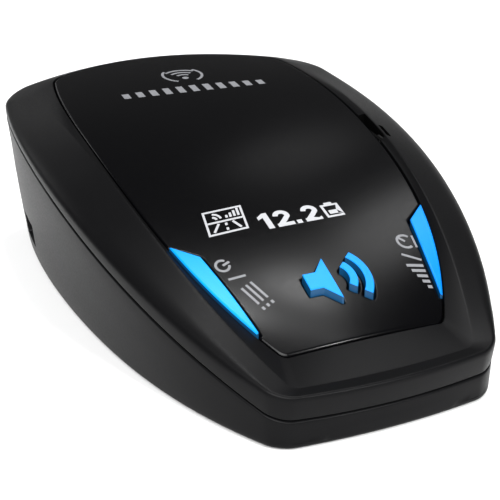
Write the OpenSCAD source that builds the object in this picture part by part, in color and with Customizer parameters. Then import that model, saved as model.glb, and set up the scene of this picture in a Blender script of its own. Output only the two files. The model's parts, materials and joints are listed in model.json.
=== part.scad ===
// Dashboard radar detector: a wedge-shaped case with a gloss display window, two edge keys
// and a raised symbol key. X runs across, +Y points forward to the windscreen, +Z is up.
// The origin is at the middle of the footprint, on the surface that the grip pad rests on.

/* [Overall] */
// Overall width of the case
case_w = 78; // [65:0.5:94]
// Overall length of the case
case_len = 114; // [95:0.5:137]
// Overall height, from the pad to the crown of the window
case_h = 34; // [30:0.5:41]

/* [Shells] */
// Thickness of the side walls
wall_t = 2.2; // [1.6:0.1:2.7]
// Thickness of the floor and of the deck below the window
floor_t = 1.8; // [1.5:0.1:2.2]
// Height of the dark groove between the two shells
seam = 0.4; // [0.3:0.1:0.8]
// How far the grip pad stands below the floor
pad_proud = 0.4; // [0.2:0.1:1]

/* [Window and keys] */
// Thickness of the gloss window
lens_t = 2; // [1.5:0.1:2.4]
// How much higher the window is along its middle than at its sides
lens_crown = 0.8; // [0:0.1:1.2]
// Gap round the window and round each key
key_gap = 0.25; // [0.15:0.05:0.35]
// How far the edge keys stand above the window
key_proud = 0.5; // [0.2:0.1:0.8]
// How far the symbol key stands above the window
symbol_proud = 1.1; // [0.6:0.1:1.4]
// Travel of every key
travel = 0.4; // [0.2:0.05:0.5]

/* [Electronics] */
// Thickness of the main board
board_t = 1.2; // [1:0.1:1.6]
// Gap between the floor and the main board
board_rise = 1.2; // [1:0.1:1.6]
// Radius of the loudspeaker
speaker_r = 9.5; // [7:0.5:11.5]
// Width of the horn's mouth
horn_w = 34; // [24:1:41]
// Height of the horn's mouth
horn_h = 12; // [10:1:14]

/* [Hidden] */
$fn = 48;

eps = 0.01;
half_w = case_w / 2;
base_z = pad_proud;
skin_h = case_h - base_z;
floor_z = base_z + floor_t;
board_z = floor_z + board_rise;
top_z = board_z + board_t;
deck_gap = 0.15;

// A place on the plan: across from -1 at the left side to 1 at the right, along from 0 to 1
function place(across, along) = [across * half_w, (along - 0.5) * case_len];
function along_y(along) = (along - 0.5) * case_len;
function mix(a, b, k) = a + (b - a) * k;
function shares(list, size) = [for (v = list) v * size / 100];
function heights(list) = [for (v = list) base_z + v * skin_h / 100];
function level(z) = [z, z, z, z, z];

// The smooth curve through five evenly spaced values, at t from 0 to 1
function through(v, t) =
    let (q = 4 * t)
    v[0] * (q - 1) * (q - 2) * (q - 3) * (q - 4) / 24
    - v[1] * q * (q - 2) * (q - 3) * (q - 4) / 6
    + v[2] * q * (q - 1) * (q - 3) * (q - 4) / 4
    - v[3] * q * (q - 1) * (q - 2) * (q - 4) / 6
    + v[4] * q * (q - 1) * (q - 2) * (q - 3) / 24;

// An edge of the case is a shield-shaped loop: five half widths and five heights from its near
// corners to its far corners, the two ends along Y, how far each end edge bulges past its
// corners, how much each end is crowned, and the share of the loop that each corner rounds off
// as [near along, near across, far along, far across].
HALF = 0;
RISE = 1;
ENDS = 2;
BULGE = 3;
CROWN = 4;
CORNER = 5;
case_corner = [0.022, 0.135, 0.045, 0.12];
shoulder_half = shares([48.3, 80.1, 95.0, 100, 95.9], half_w);
shoulder = [shoulder_half, heights([27.8, 52.9, 71.2, 82.6, 91.2]),
    [along_y(0.016), along_y(0.912)], shares([-1.6, 8.8], case_len), [0, 1.8], case_corner];
parting = [shoulder_half, heights([14.5, 42.7, 63.3, 76.3, 81.6]),
    [along_y(0.021), along_y(0.912)], shares([-1.6, 8.7], case_len), [0, 0.3], case_corner];
crest = [shares([40.6, 62.6, 73, 79.5, 87.2], half_w), heights([27.7, 58.9, 80.9, 90.2, 93.7]),
    [along_y(0.033), along_y(0.91)], shares([-0.85, 8.3], case_len), [0, 1.9],
    [0.012, 0.08, 0.068, 0.19]];
lens = [shares([36.6, 61.7, 70.4, 73.1, 67.5], half_w), heights([32, 61.4, 80.5, 91.7, 97.6]),
    [along_y(0.092), along_y(0.911)], shares([-0.7, 7.2], case_len), [lens_crown, lens_crown],
    [0.01, 0.06, 0.03, 0.1]];
base = [shares([47.5, 77.8, 91.1, 95.8, 91.1], half_w), level(base_z),
    [along_y(0.018), along_y(0.9)], shares([-1.1, 8.8], case_len), [0, 0], case_corner];

// The same loop drawn in by "d" all round, with its widths and heights read at the new stations
function inset(e, d) =
    let (step = d / (e[ENDS][1] - e[ENDS][0]), at = [for (i = [0:4]) mix(step, 1 - step, i / 4)])
    [[for (t = at) through(e[HALF], t) - d], [for (t = at) through(e[RISE], t)],
        [e[ENDS][0] + d, e[ENDS][1] - d], e[BULGE], e[CROWN], e[CORNER]];
function lifted(e, d) = [e[HALF], [for (z = e[RISE]) z + d], e[ENDS], e[BULGE], e[CROWN], e[CORNER]];
function spot(e, t, s) = [
    s * through(e[HALF], t),
    mix(e[ENDS][0], e[ENDS][1], t) + mix(e[BULGE][0], e[BULGE][1], t) * (1 - s * s),
    through(e[RISE], t) + mix(e[CROWN][0], e[CROWN][1], t) * (1 - s * s)];

// The stations of a loop as [t, s], once round a rounded rectangle, starting at the near left
end_steps = 10;
side_steps = 16;
corner_steps = 4;
function course(c) = concat(
    [for (i = [0:end_steps - 1]) [0, mix(c[1] - 1, 1 - c[1], i / end_steps)]],
    [for (i = [0:corner_steps - 1]) let (a = 90 * i / corner_steps)
        [c[0] * (1 - cos(a)), 1 - c[1] + c[1] * sin(a)]],
    [for (i = [0:side_steps - 1]) [mix(c[0], 1 - c[2], i / side_steps), 1]],
    [for (i = [0:corner_steps - 1]) let (a = 90 * i / corner_steps)
        [1 - c[2] + c[2] * sin(a), 1 - c[3] + c[3] * cos(a)]],
    [for (i = [0:end_steps - 1]) [1, mix(1 - c[3], c[3] - 1, i / end_steps)]],
    [for (i = [0:corner_steps - 1]) let (a = 90 * i / corner_steps)
        [1 - c[2] + c[2] * cos(a), c[3] - 1 - c[3] * sin(a)]],
    [for (i = [0:side_steps - 1]) [mix(1 - c[2], c[0], i / side_steps), -1]],
    [for (i = [0:corner_steps - 1]) let (a = 90 * i / corner_steps)
        [c[0] * (1 - sin(a)), c[1] - 1 - c[1] * cos(a)]]);

// One loop of points, shrunk to the share k about its middle, and the point at its middle
function loop_of(e, k = 1) = [for (c = course(e[CORNER])) spot(e, 0.5 + (c[0] - 0.5) * k, c[1] * k)];
function middle_of(e) = spot(e, 0.5, 0);
// The loops that carry a face out from its middle to its rim, or back in again
face_shares = [0.2, 0.4, 0.6, 0.8, 0.92];
function outward(e) = concat([for (k = face_shares) loop_of(e, k)], [loop_of(e)]);
function inward(e) = [for (i = [len(face_shares) - 1:-1:0]) loop_of(e, face_shares[i])];
function blend(a, b, k) = [for (i = [0:len(a) - 1]) mix(a[i], b[i], k)];
function flat(list) = [for (part = list) for (p = part) p];

// A closed solid skinned over loops, from the point "first" below to the point "last" above
module skin(first, loops, last) {
    n = len(loops[0]);
    m = len(loops);
    end = n * m + 1;
    polyhedron(
        points = concat([first], flat(loops), [last]),
        faces = concat(
            [for (i = [0:n - 1]) [0, 1 + i, 1 + (i + 1) % n]],
            [for (j = [0:m - 2]) for (i = [0:n - 1])
                [1 + j * n + i, 1 + (j + 1) * n + i, 1 + (j + 1) * n + (i + 1) % n]],
            [for (j = [0:m - 2]) for (i = [0:n - 1])
                [1 + j * n + i, 1 + (j + 1) * n + (i + 1) % n, 1 + j * n + (i + 1) % n]],
            [for (i = [0:n - 1]) [1 + (m - 1) * n + i, end, 1 + (m - 1) * n + (i + 1) % n]]));
}

// A closed ring skinned over loops, the last of which meets the first
module ring(loops) {
    n = len(loops[0]);
    m = len(loops);
    polyhedron(
        points = flat(loops),
        faces = concat(
            [for (j = [0:m - 1]) for (i = [0:n - 1])
                [j * n + i, (j + 1) % m * n + i, (j + 1) % m * n + (i + 1) % n]],
            [for (j = [0:m - 1]) for (i = [0:n - 1])
                [j * n + i, (j + 1) % m * n + (i + 1) % n, j * n + (i + 1) % n]]));
}

// Heights of the window and of the bezel above a place on the plan
function t_at(e, y) = (y - e[ENDS][0]) / (e[ENDS][1] - e[ENDS][0]);
function half_at(e, y) = through(e[HALF], t_at(e, y));
function rise_at(e, y) = through(e[RISE], t_at(e, y));
function lens_top(p) =
    let (s = p[0] / half_at(lens, p[1]), arch = 1 - s * s,
        t = t_at(lens, p[1] - mix(lens[BULGE][0], lens[BULGE][1], t_at(lens, p[1])) * arch))
    through(lens[RISE], t) + lens_crown * arch;
function bezel_top(p) = mix(rise_at(crest, p[1]), rise_at(shoulder, p[1]),
    (abs(p[0]) - half_at(crest, p[1])) / (half_at(shoulder, p[1]) - half_at(crest, p[1])));

// Places that two or more sub-parts share
near_screw = place(0.256, 0.126);
far_screw = place(0.795, 0.828);
screw_spots = [for (p = [near_screw, far_screw]) for (side = [-1, 1]) [side * p[0], p[1]]];
near_split = top_z + 1.6;
far_split = top_z + 9;
function split_at(p) = p[1] < 0 ? near_split : far_split;
board_spots = [for (p = [place(0.31, 0.29), place(0.52, 0.845)]) for (side = [-1, 1])
    [side * p[0], p[1]]];
key_tip = place(0.595, 0.292);
key_inner = place(0.51, 0.2685);
key_foot = place(0.422, 0.13);
key_post_spot = place(0.536, 0.245);
mute_spot = place(0, 0.1795);
display_spot = place(0, 0.328);
usb_along = 0.756;
slot_spot = [half_at(crest, along_y(0.525)), along_y(0.525)];
key_thick = lens_t - travel - 0.1;
post_r = 1.1;
post_sink = 0.7;
switch_h = 3.5;
stem_top = top_z + switch_h + 0.8;
slide_gap = 0.15;
screw_r = 1.1;
screw_play = 0.15;
pilot_r = 0.9;
head_r = 2;
head_t = 1.2;
post_wall = 1.9;
board_screw_r = 0.9;
board_post_wall = 1.6;
cross_w = 0.5;
cross_long = 2.2;
thread_end_gap = 0.6;
edge_ease = 0.25;
foot_ease = 0.5;
bed_gap = 0.1;
display_opening = [38, 10];
display_plan = [44, 14];
seal_gap = 0.06;
usb_w = 7.7;
usb_h = 3.9;
usb_long = 8.6;
usb_z = top_z + usb_h / 2;
usb_mouth_x = -half_at(parting, along_y(usb_along)) + 2.5;
horn_y = [along_y(0.67), along_y(0.74), along_y(0.925)];
horn_mid = top_z + horn_h / 2 + 0.1;
sensor_size = [11, 8, 5];
sensor_z = horn_mid + horn_h / 2 + 0.1;
sensor_mid = sensor_z + sensor_size[2] / 2;
laser_r = 2;
window_w = 31;
window_h = 5.6;
pad_margin = 10;
plate_plan = [30, 12];
plate_spot = place(0, 0.875);
plate_t = 0.3;
pad_sink = 0.8;
mesh_t = 0.3;
mesh_gap = 0.1;

/* Case */
// Everything inside the outside face of the lower shell, with the wall drawn at "depth" in
module lower_skin() {
    rim = lifted(parting, -seam / 2);
    outside = concat([loop_of(inset(base, foot_ease)), loop_of(lifted(base, foot_ease))],
        [loop_of(lifted(rim, -edge_ease)), loop_of(inset(rim, edge_ease))]);
    inside = [loop_of(inset(rim, wall_t)), loop_of(lifted(inset(base, wall_t), floor_t))];
    skin([0, 0, base_z], concat(outside, inside), [0, 0, floor_z]);
}

module lower_shell() {
    color("#262628")
    difference() {
        union() {
            lower_skin();
            for (p = screw_spots)
                post_at(p, base_z + eps, screw_r + post_wall, split_at(p));
            for (p = board_spots)
                post_at(p, base_z + 1, board_screw_r + board_post_wall, board_z);
        }
        for (p = screw_spots) {
            post_at(p, base_z - 1, screw_r + screw_play, case_h);
            post_at(p, base_z - 1, head_r + 2 * screw_play, base_z + head_depth(p));
        }
        for (p = board_spots)
            post_at(p, floor_z - thread_end_gap, board_screw_r - screw_play, case_h);
        translate([usb_mouth_x, along_y(usb_along), usb_z])
            cube([2 * usb_long, usb_w + 2 * key_gap, usb_h + 2 * key_gap], center = true);
        window_block(key_gap / 2);
        translate([0, 0, base_z - 1]) linear_extrude(1 + pad_sink) pad_plan(bed_gap);
        translate([plate_spot[0], plate_spot[1], base_z - 1]) linear_extrude(1 + plate_t)
            square(plate_plan + 2 * [bed_gap, bed_gap], center = true);
    }
}

// An upright cylinder at a place on the plan, from one height to another
module post_at(p, low, radius, high) {
    translate([p[0], p[1], low]) cylinder(r = radius, h = high - low);
}

// How deep a case screw's head sits in the floor: the far pair stands in taller posts
function head_depth(p) = p[1] < 0 ? 1.4 : 8;

// The block that cuts the opening for the front window, and shapes the window itself
module window_block(grow) {
    translate([-window_w / 2 - grow, along_y(0.93), sensor_mid - window_h / 2 - grow])
        cube([window_w + 2 * grow, case_len / 10, window_h + 2 * grow]);
}

module pad_plan(grow) {
    pad = [[for (w = base[HALF]) w - pad_margin + grow], base[RISE],
        [along_y(0.215) - grow, along_y(0.755) + grow],
        [-1, 3], [0, 0], [0.06, 0.16, 0.06, 0.12]];
    polygon([for (p = loop_of(pad)) [p[0], p[1]]]);
}

// The upper shell's top is a deck sunk below the bezel, and the window lies on it
module upper_skin() {
    rim = lifted(parting, seam / 2);
    pocket = inset(lens, -key_gap);
    floor_loop = lifted(pocket, -lens_t - deck_gap);
    under = lifted(pocket, -lens_t - deck_gap - floor_t);
    outer = loop_of(rim);
    ridge = loop_of(crest);
    edge = loop_of(shoulder);
    brim = loop_of(pocket);
    inner_rim = loop_of(inset(rim, wall_t));
    walls = [
        blend(inner_rim, loop_of(inset(shoulder, wall_t)), 0.3),
        inner_rim,
        loop_of(inset(rim, edge_ease)),
        loop_of(lifted(rim, edge_ease)),
        blend(edge, outer, 0.35),
        blend(blend(edge, outer, 0.12), blend(edge, ridge, 0.08), 0.5),
        blend(edge, ridge, 0.16),
        blend(ridge, edge, 0.08),
        blend(ridge, brim, 0.15),
        brim,
        loop_of(floor_loop)
    ];
    skin(middle_of(under), concat(outward(under), walls, inward(floor_loop)), middle_of(floor_loop));
}

module upper_shell() {
    color("#232325")
    difference() {
        union() {
            upper_skin();
            for (side = [-1, 1]) {
                near_boss([side * near_screw[0], near_screw[1]]);
                far_boss([side * far_screw[0], far_screw[1]]);
            }
        }
        for (p = screw_spots)
            post_at(p, split_at(p) - 1, pilot_r, split_at(p) + boss_depth(p));
        for (side = [-1, 1])
            post_at([side * key_post_spot[0], key_post_spot[1]], top_z, post_r + slide_gap, 2 * case_h);
        translate([mute_spot[0], mute_spot[1], 0]) linear_extrude(case_h)
            square([mute_plan[0] + 1, mute_plan[1] + 1], center = true);
        display_window_cut();
        slot_cut(0);
    }
}

// The near bosses hang from the deck and follow its slope; the far ones hang from the bezel
module near_boss(p) {
    intersection() {
        post_at(p, near_split, screw_r + post_wall, 2 * case_h);
        lens_slab(-case_h / 2, -lens_t - deck_gap - 0.4, 0);
    }
}

module far_boss(p) {
    post_at(p, far_split, screw_r + post_wall, bezel_top(p) - 1.5);
}

function boss_depth(p) = p[1] < 0 ? 2.2 : 7;

// The opening in the deck above the display
module display_window_cut() {
    translate([display_spot[0], display_spot[1], 0]) linear_extrude(case_h)
        square(display_opening, center = true);
}

// The sound slot: a long mouth inside the bezel's crest, a short one outside it, joined below
slot_long = 10.5;
slot_in = half_at(lens, slot_spot[1]) + key_gap - slot_spot[0] + 0.05;
slot_floor = bezel_top(slot_spot) - 2.6;
module slot_cut(shrink) {
    turn = -atan((half_at(crest, slot_spot[1] + 5) - half_at(crest, slot_spot[1] - 5)) / 10);
    translate([slot_spot[0], slot_spot[1], slot_floor]) rotate([0, 0, turn]) {
        slot_mouth(slot_in, -0.2, slot_long, 6, shrink);
        translate([0, -2.4, 0]) slot_mouth(0.5, 1.3, 4.4, 6, shrink);
        translate([0, -2.4, 0]) slot_mouth(slot_in, 1.3, 4.4, 1.1, shrink);
    }
}

// A straight mouth from "low" to "high" across, centred along
module slot_mouth(low, high, long, tall, shrink) {
    translate([low + shrink, -long / 2 + shrink, 0])
        cube([high - low - 2 * shrink, long - 2 * shrink, tall]);
}

module case_seal() {
    half = seam / 2 - seal_gap;
    color("#101011")
    ring([
        loop_of(inset(lifted(parting, -half), 0.8)),
        loop_of(inset(lifted(parting, half), 0.8)),
        loop_of(inset(lifted(parting, half), wall_t)),
        loop_of(inset(lifted(parting, -half), wall_t))
    ]);
}

module case_screws() {
    color("#8a8c90")
    for (p = screw_spots) {
        seat = base_z + head_depth(p);
        difference() {
            union() {
                post_at(p, seat - head_t, head_r, seat);
                post_at(p, seat - eps, pilot_r, split_at(p) + boss_depth(p) - thread_end_gap);
            }
            cross_slot([p[0], p[1], seat - head_t], 0.7);
        }
    }
}

module cross_slot(at, deep) {
    translate(at) for (turn = [0, 90])
        rotate([0, 0, turn]) cube([cross_long, cross_w, 2 * deep], center = true);
}

module grip_pad() {
    color("#1b1b1c")
    linear_extrude(pad_sink + base_z) pad_plan(0);
}

module rating_plate() {
    color("#9b9da1")
    translate([plate_spot[0] - plate_plan[0] / 2, plate_spot[1] - plate_plan[1] / 2, base_z])
        cube([plate_plan[0], plate_plan[1], plate_t]);
}

module front_window() {
    color("#3a0c10")
    intersection() {
        lower_skin();
        window_block(0);
    }
}

module sound_mesh() {
    color("#0c0c0d")
    intersection() {
        slot_cut(mesh_gap);
        translate([slot_spot[0], slot_spot[1], slot_floor + mesh_t / 2])
            cube([slot_long, 2 * slot_long, mesh_t], center = true);
    }
}

/* Window and keys */
// A slab that follows the window, from "low" to "high" above its face, grown sideways
module lens_slab(low, high, grow) {
    e = inset(lens, -grow);
    bottom = lifted(e, low);
    top = lifted(e, high);
    skin(middle_of(bottom), concat(outward(bottom), [loop_of(top)], inward(top)), middle_of(top));
}

// The plan of the right-hand edge key, left open past the window's edge
module key_plan(grow) {
    out = 8;
    polygon([[key_tip[0] + out, key_tip[1] + grow + out * 0.8], [key_tip[0], key_tip[1] + grow],
        [key_inner[0] - grow, key_inner[1] + grow], [key_foot[0] - grow, key_foot[1] - grow],
        [key_foot[0] + out, key_foot[1] - grow - out * 0.4]]);
}

module mirrored(side) {
    scale([side, 1, 1]) children();
}

// The symbol on the centre key: a loudspeaker with two sound arcs
symbol_size = 9.4;
module symbol_plan(grow) {
    u = symbol_size / 9.4;
    g = grow;
    polygon([[-5.6 * u - g, -1.6 * u - g], [-3.3 * u - g / 2, -1.6 * u - g],
        [-0.9 * u + g, -4.2 * u - 1.6 * g], [-0.9 * u + g, 4.2 * u + 1.6 * g],
        [-3.3 * u - g / 2, 1.6 * u + g], [-5.6 * u - g, 1.6 * u + g]]);
    for (r = [2.6, 5.2] * u) sound_arc(r - g, r + 1.4 * u + g, 42, g);
}

module sound_arc(inner, outer, spread, g) {
    translate([-0.6, 0]) difference() {
        circle(r = outer);
        circle(r = inner);
        for (side = [-1, 1]) rotate(side * spread) translate([-outer, side * g])
            translate([0, side > 0 ? 0 : -3 * outer]) square([3 * outer, 3 * outer]);
        translate([-2 * outer, -2 * outer]) square([2 * outer, 4 * outer]);
    }
}
mute_plan = [12.6, 10.4];

module display_window() {
    color("#0b0b0d")
    difference() {
        lens_slab(-lens_t, 0, 0);
        for (side = [-1, 1]) mirrored(side) linear_extrude(case_h * 1.2) key_plan(key_gap);
        translate([mute_spot[0], mute_spot[1], 0]) linear_extrude(case_h) symbol_plan(key_gap / 2);
    }
}

module edge_key_cap(side) {
    difference() {
        intersection() {
            lens_slab(-key_thick, key_proud, 0);
            mirrored(side) linear_extrude(case_h * 1.2) key_plan(0);
        }
        post_at([side * key_post_spot[0], key_post_spot[1]], 0, post_r, cap_seat(key_post_spot));
    }
}

function cap_seat(p) = lens_top(p) - key_thick + post_sink;

module edge_key_post(side) {
    post_at([side * key_post_spot[0], key_post_spot[1]], stem_top, post_r, cap_seat(key_post_spot));
}

module power_key_cap() {
    color("#22b6ff") edge_key_cap(-1);
}

module volume_key_cap() {
    color("#22b6ff") edge_key_cap(1);
}

module power_key_post() {
    color("#d9dde0") edge_key_post(-1);
}

module volume_key_post() {
    color("#d9dde0") edge_key_post(1);
}

mute_plate_t = 1.2;
mute_drop = 0.2;
mute_seat = lens_top(mute_spot) - lens_t - mute_drop - mute_plate_t;
module mute_key_symbol() {
    color("#22b6ff")
    difference() {
        union() {
            intersection() {
                lens_slab(-lens_t - mute_drop - 0.5, symbol_proud, 0);
                translate([mute_spot[0], mute_spot[1], 0]) linear_extrude(case_h * 1.2) symbol_plan(0);
            }
            intersection() {
                lens_slab(-lens_t - mute_drop - mute_plate_t, -lens_t - mute_drop, 0);
                translate([mute_spot[0], mute_spot[1], 0]) linear_extrude(case_h)
                    square(mute_plan, center = true);
            }
        }
        post_at(mute_spot, 0, post_r, mute_seat + post_sink);
    }
}

module mute_key_post() {
    color("#d9dde0")
    post_at(mute_spot, stem_top, post_r, mute_seat + post_sink);
}

/* Switches and lights */
key_spots = [[-key_post_spot[0], key_post_spot[1]], key_post_spot, mute_spot];
switch_w = 6;
switch_base = 1;
stem_r = 1.5;
led = [1.6, 0.9, 0.7];
led_reach = 4.6;
module switch_bodies() {
    color("#1d1d1f")
    for (p = key_spots)
        difference() {
            translate([p[0] - switch_w / 2, p[1] - switch_w / 2, top_z]) cube([switch_w, switch_w, switch_h]);
            post_at(p, top_z + switch_base, stem_r + 0.1, 2 * case_h);
        }
}

module switch_stem(p) {
    post_at(p, top_z + switch_base + travel + 0.1, stem_r, stem_top);
}

module power_switch_stem() {
    color("#e8e4da") switch_stem(key_spots[0]);
}

module volume_switch_stem() {
    color("#e8e4da") switch_stem(key_spots[1]);
}

module mute_switch_stem() {
    color("#e8e4da") switch_stem(key_spots[2]);
}

module key_leds() {
    color("#dff1ff")
    for (p = key_spots) for (side = [-1, 1])
        translate([p[0] - led[0] / 2, p[1] + side * led_reach - led[1] / 2, top_z]) cube(led);
}

/* Electronics */
board_margin = 1.4;
board = [[for (w = base[HALF]) w - wall_t - board_margin], level(board_z),
    [along_y(0.175), along_y(0.885)], [-1, 6], [0, 0], case_corner];
module main_board() {
    color("#12472e")
    difference() {
        translate([0, 0, board_z]) linear_extrude(board_t)
            polygon([for (p = loop_of(board)) [p[0], p[1]]]);
        for (p = screw_spots)
            post_at(p, board_z - 1, screw_r + post_wall + 0.4, top_z + 1);
        for (p = board_spots)
            post_at(p, board_z - 1, board_screw_r + screw_play, top_z + 1);
    }
}

module board_screws() {
    color("#b9a36a")
    for (p = board_spots)
        difference() {
            union() {
                post_at(p, top_z, 2 * board_screw_r, top_z + 1);
                post_at(p, floor_z - 0.4, board_screw_r - screw_play, top_z + eps);
            }
            cross_slot([p[0], p[1], top_z + 1], 0.5);
        }
}

// The display leans with the window above it
display_tilt = atan((lens_top([0, display_spot[1] + 4]) - lens_top([0, display_spot[1] - 4])) / 8);
display_z = lens_top(display_spot) - lens_t - deck_gap - floor_t;
module on_display(drop) {
    translate([display_spot[0], display_spot[1], display_z]) rotate([display_tilt, 0, 0])
        translate([0, 0, -drop]) children();
}
gasket_t = 0.8;
gasket_drop = 0.7;
display_t = 2.2;
flex_t = 0.15;
flex_w = 12;
flex_bend = 0.05;
module display_gasket() {
    color("#202022")
    on_display(gasket_drop + gasket_t) linear_extrude(gasket_t) difference() {
        square(display_plan, center = true);
        square(display_opening - [0, 0.6], center = true);
    }
}

module display_module() {
    color("#15181c")
    on_display(gasket_drop + gasket_t + display_t) linear_extrude(display_t)
        square(display_plan, center = true);
}

module display_flex() {
    color("#b5782a")
    translate([-flex_w / 2, 0, 0]) rotate([90, 0, 90]) linear_extrude(flex_w) flex_side();
}

// The flex seen from the side: it leaves the display's near edge and drops to the board
module flex_side() {
    drop = gasket_drop + gasket_t + display_t;
    near = display_plan[1] / 2 - 0.4;
    start = [display_spot[1] - near * cos(display_tilt) + drop * sin(display_tilt),
        display_z - near * sin(display_tilt) - drop * cos(display_tilt) - flex_bend];
    under = start + [2, 2 * tan(display_tilt)];
    foot = [start[0] - 1.6, top_z];
    tail = foot + [1.4, 0];
    knee = foot + [0, 1.2];
    polygon([under, start, knee, foot, tail, tail + [0, flex_t], foot + [flex_t, flex_t],
        knee + [flex_t, 0], start + [flex_t, -flex_t], under + [0, -flex_t]]);
}

// The horn: a waveguide block that flares to the front
horn_t = 1.2;
guide = [14, 6];
module horn_antenna() {
    color("#b8bbc0")
    difference() {
        union() {
            translate([-guide[0] / 2 - horn_t, horn_y[0], horn_mid - guide[1] / 2 - horn_t])
                cube([guide[0] + 2 * horn_t, horn_y[1] - horn_y[0] + eps, guide[1] + 2 * horn_t]);
            flare(0);
            translate([-5, horn_y[0], top_z]) cube([10, horn_y[1] - horn_y[0], horn_mid - top_z]);
        }
        translate([-guide[0] / 2, horn_y[0] + horn_t, horn_mid - guide[1] / 2])
            cube([guide[0], horn_y[1] - horn_y[0], guide[1]]);
        flare(horn_t);
    }
}

module flare(thin) {
    reach = thin > 0 ? eps : 0;
    hull() {
        translate([0, horn_y[1] - reach, horn_mid])
            cube([guide[0] + 2 * (horn_t - thin), 2 * eps, guide[1] + 2 * (horn_t - thin)], center = true);
        translate([0, horn_y[2] + reach, horn_mid])
            cube([horn_w - 2 * thin, 2 * eps, horn_h - 2 * thin], center = true);
    }
}

can = [18, 14, 6];
can_y = horn_y[0] - can[1] - 1;
module mixer_shield() {
    sheet = 0.4;
    color("#c3c5c9")
    translate([-can[0] / 2, can_y, top_z]) difference() {
        cube(can);
        translate([sheet, sheet, -sheet]) cube([can[0] - 2 * sheet, can[1] - 2 * sheet, can[2]]);
    }
}

// The laser receiver sits on the horn and looks out through the front window
module laser_sensor() {
    color("#17181a")
    difference() {
        translate([-sensor_size[0] / 2, horn_y[2] - 1 - sensor_size[1], sensor_z]) cube(sensor_size);
        translate([0, horn_y[2] - 3, sensor_mid]) rotate([-90, 0, 0]) cylinder(r = laser_r, h = 4);
    }
}

module laser_lens() {
    color("#4a1a1f")
    translate([0, horn_y[2] - 3, sensor_mid]) rotate([-90, 0, 0]) rotate_extrude()
        polygon([[0, 0], [laser_r, 0], [laser_r, 2], [laser_r / 2, 2.8], [0, 2.8]]);
}

module gps_antenna() {
    patch = 15;
    near = along_y(0.5);
    color("#c9b38a")
    translate([1 - half_at(board, near), near, top_z]) {
        cube([patch, patch, 4]);
        translate([3, 3, 4]) cube([patch - 6, patch - 6, 0.2]);
    }
}

speaker_y = along_y(0.45);
speaker_spot = [half_at(board, speaker_y - speaker_r) - speaker_r, speaker_y];
module speaker_frame() {
    color("#1c1c1e")
    translate([speaker_spot[0], speaker_spot[1], top_z]) difference() {
        cylinder(r = speaker_r, h = 5);
        translate([0, 0, 0.8]) cylinder(r = speaker_r - 1, h = 5);
    }
}

module speaker_magnet() {
    color("#55585c")
    translate([speaker_spot[0], speaker_spot[1], top_z + 0.8]) cylinder(r = speaker_r * 0.5, h = 1.8);
}

module speaker_cone() {
    color("#2a2623")
    translate([speaker_spot[0], speaker_spot[1], top_z + 2.8]) rotate_extrude()
        polygon([[0, 0], [speaker_r * 0.4, 0], [speaker_r - 1.2, 1.7], [speaker_r - 1.2, 2.1],
            [speaker_r * 0.4, 0.4], [0, 0.4]]);
}

module usb_shell() {
    color("#c8cacd")
    translate([usb_mouth_x, along_y(usb_along) - usb_w / 2, top_z]) difference() {
        cube([usb_long, usb_w, usb_h]);
        translate([-1, 0.3, 0.3]) cube([usb_long, usb_w - 0.6, usb_h - 0.6]);
    }
}

module usb_tongue() {
    color("#111112")
    translate([usb_mouth_x + 0.8, along_y(usb_along) - 2.5, usb_z - 0.35])
        cube([usb_long - 1.8, 5, 0.9]);
}

package = [10, 10, 1.4];
package_corner = [2 - package[0], can_y - 2 - package[1], top_z];
module processor() {
    color("#18181a")
    translate(package_corner) cube(package);
}

// Small chips round the processor, as [right of its corner, ahead of its corner, width, length]
small_chips = [[-5, -5.5, 4, 4], [-5, 0, 4, 4], [1, -6, 4, 4.5], [6.5, -5, 3, 3]];
module chips() {
    color("#1f2023")
    for (c = small_chips)
        translate(package_corner + [c[0], c[1], 0]) cube([c[2], c[3], 1.1]);
}

// Four capacitors in a row, near the speaker
capacitor_r = 1.5;
capacitor_h = 3.2;
capacitor_pitch = 3.6;
module capacitors() {
    color("#c6c8cc")
    for (i = [-1.5:1.5])
        post_at([speaker_spot[0] + capacitor_pitch * i, speaker_y - speaker_r - capacitor_r - 0.7],
            top_z, capacitor_r, top_z + capacitor_h);
}

coil_spot = place(0.45, 0.76);
coil_r = 3;
module power_coil() {
    color("#3a3b3e")
    post_at(coil_spot, top_z, coil_r, top_z + coil_r);
}

cell_spot = place(-0.6, 0.42);
cell_r = 5;
cell_t = 1.6;
holder_floor = 0.6;
module cell_holder() {
    color("#e2ddd0")
    difference() {
        post_at(cell_spot, top_z, cell_r + 1, top_z + 2);
        post_at(cell_spot, top_z + holder_floor, cell_r + 0.1, top_z + 3);
    }
}

module backup_cell() {
    color("#c9cbce")
    post_at(cell_spot, top_z + holder_floor, cell_r, top_z + holder_floor + cell_t);
}

lower_shell();
upper_shell();
case_seal();
display_window();
front_window();
grip_pad();
rating_plate();
sound_mesh();
case_screws();
power_key_cap();
power_key_post();
power_switch_stem();
volume_key_cap();
volume_key_post();
volume_switch_stem();
mute_key_symbol();
mute_key_post();
mute_switch_stem();
switch_bodies();
key_leds();
main_board();
board_screws();
display_module();
display_gasket();
display_flex();
horn_antenna();
mixer_shield();
laser_sensor();
laser_lens();
gps_antenna();
speaker_frame();
speaker_cone();
speaker_magnet();
usb_shell();
usb_tongue();
processor();
chips();
capacitors();
power_coil();
backup_cell();
cell_holder();
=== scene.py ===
# %% [markdown]
# # A dashboard radar detector, finished in Blender
# The object is a palm-sized case of two moulded shells. A gloss window lies in its top, with a lit
# readout behind it, two blue edge keys and a raised symbol key. The solid model already fixes
# every size and every joint, so this script only gives each piece its fine shape and its finish.
# Lengths are written in millimetres and become metres when a mesh is made.

# %% Load the frame
import json
import math

import bpy
import numpy as np
from mathutils import Matrix, Vector
from mathutils.geometry import delaunay_2d_cdt


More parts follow.
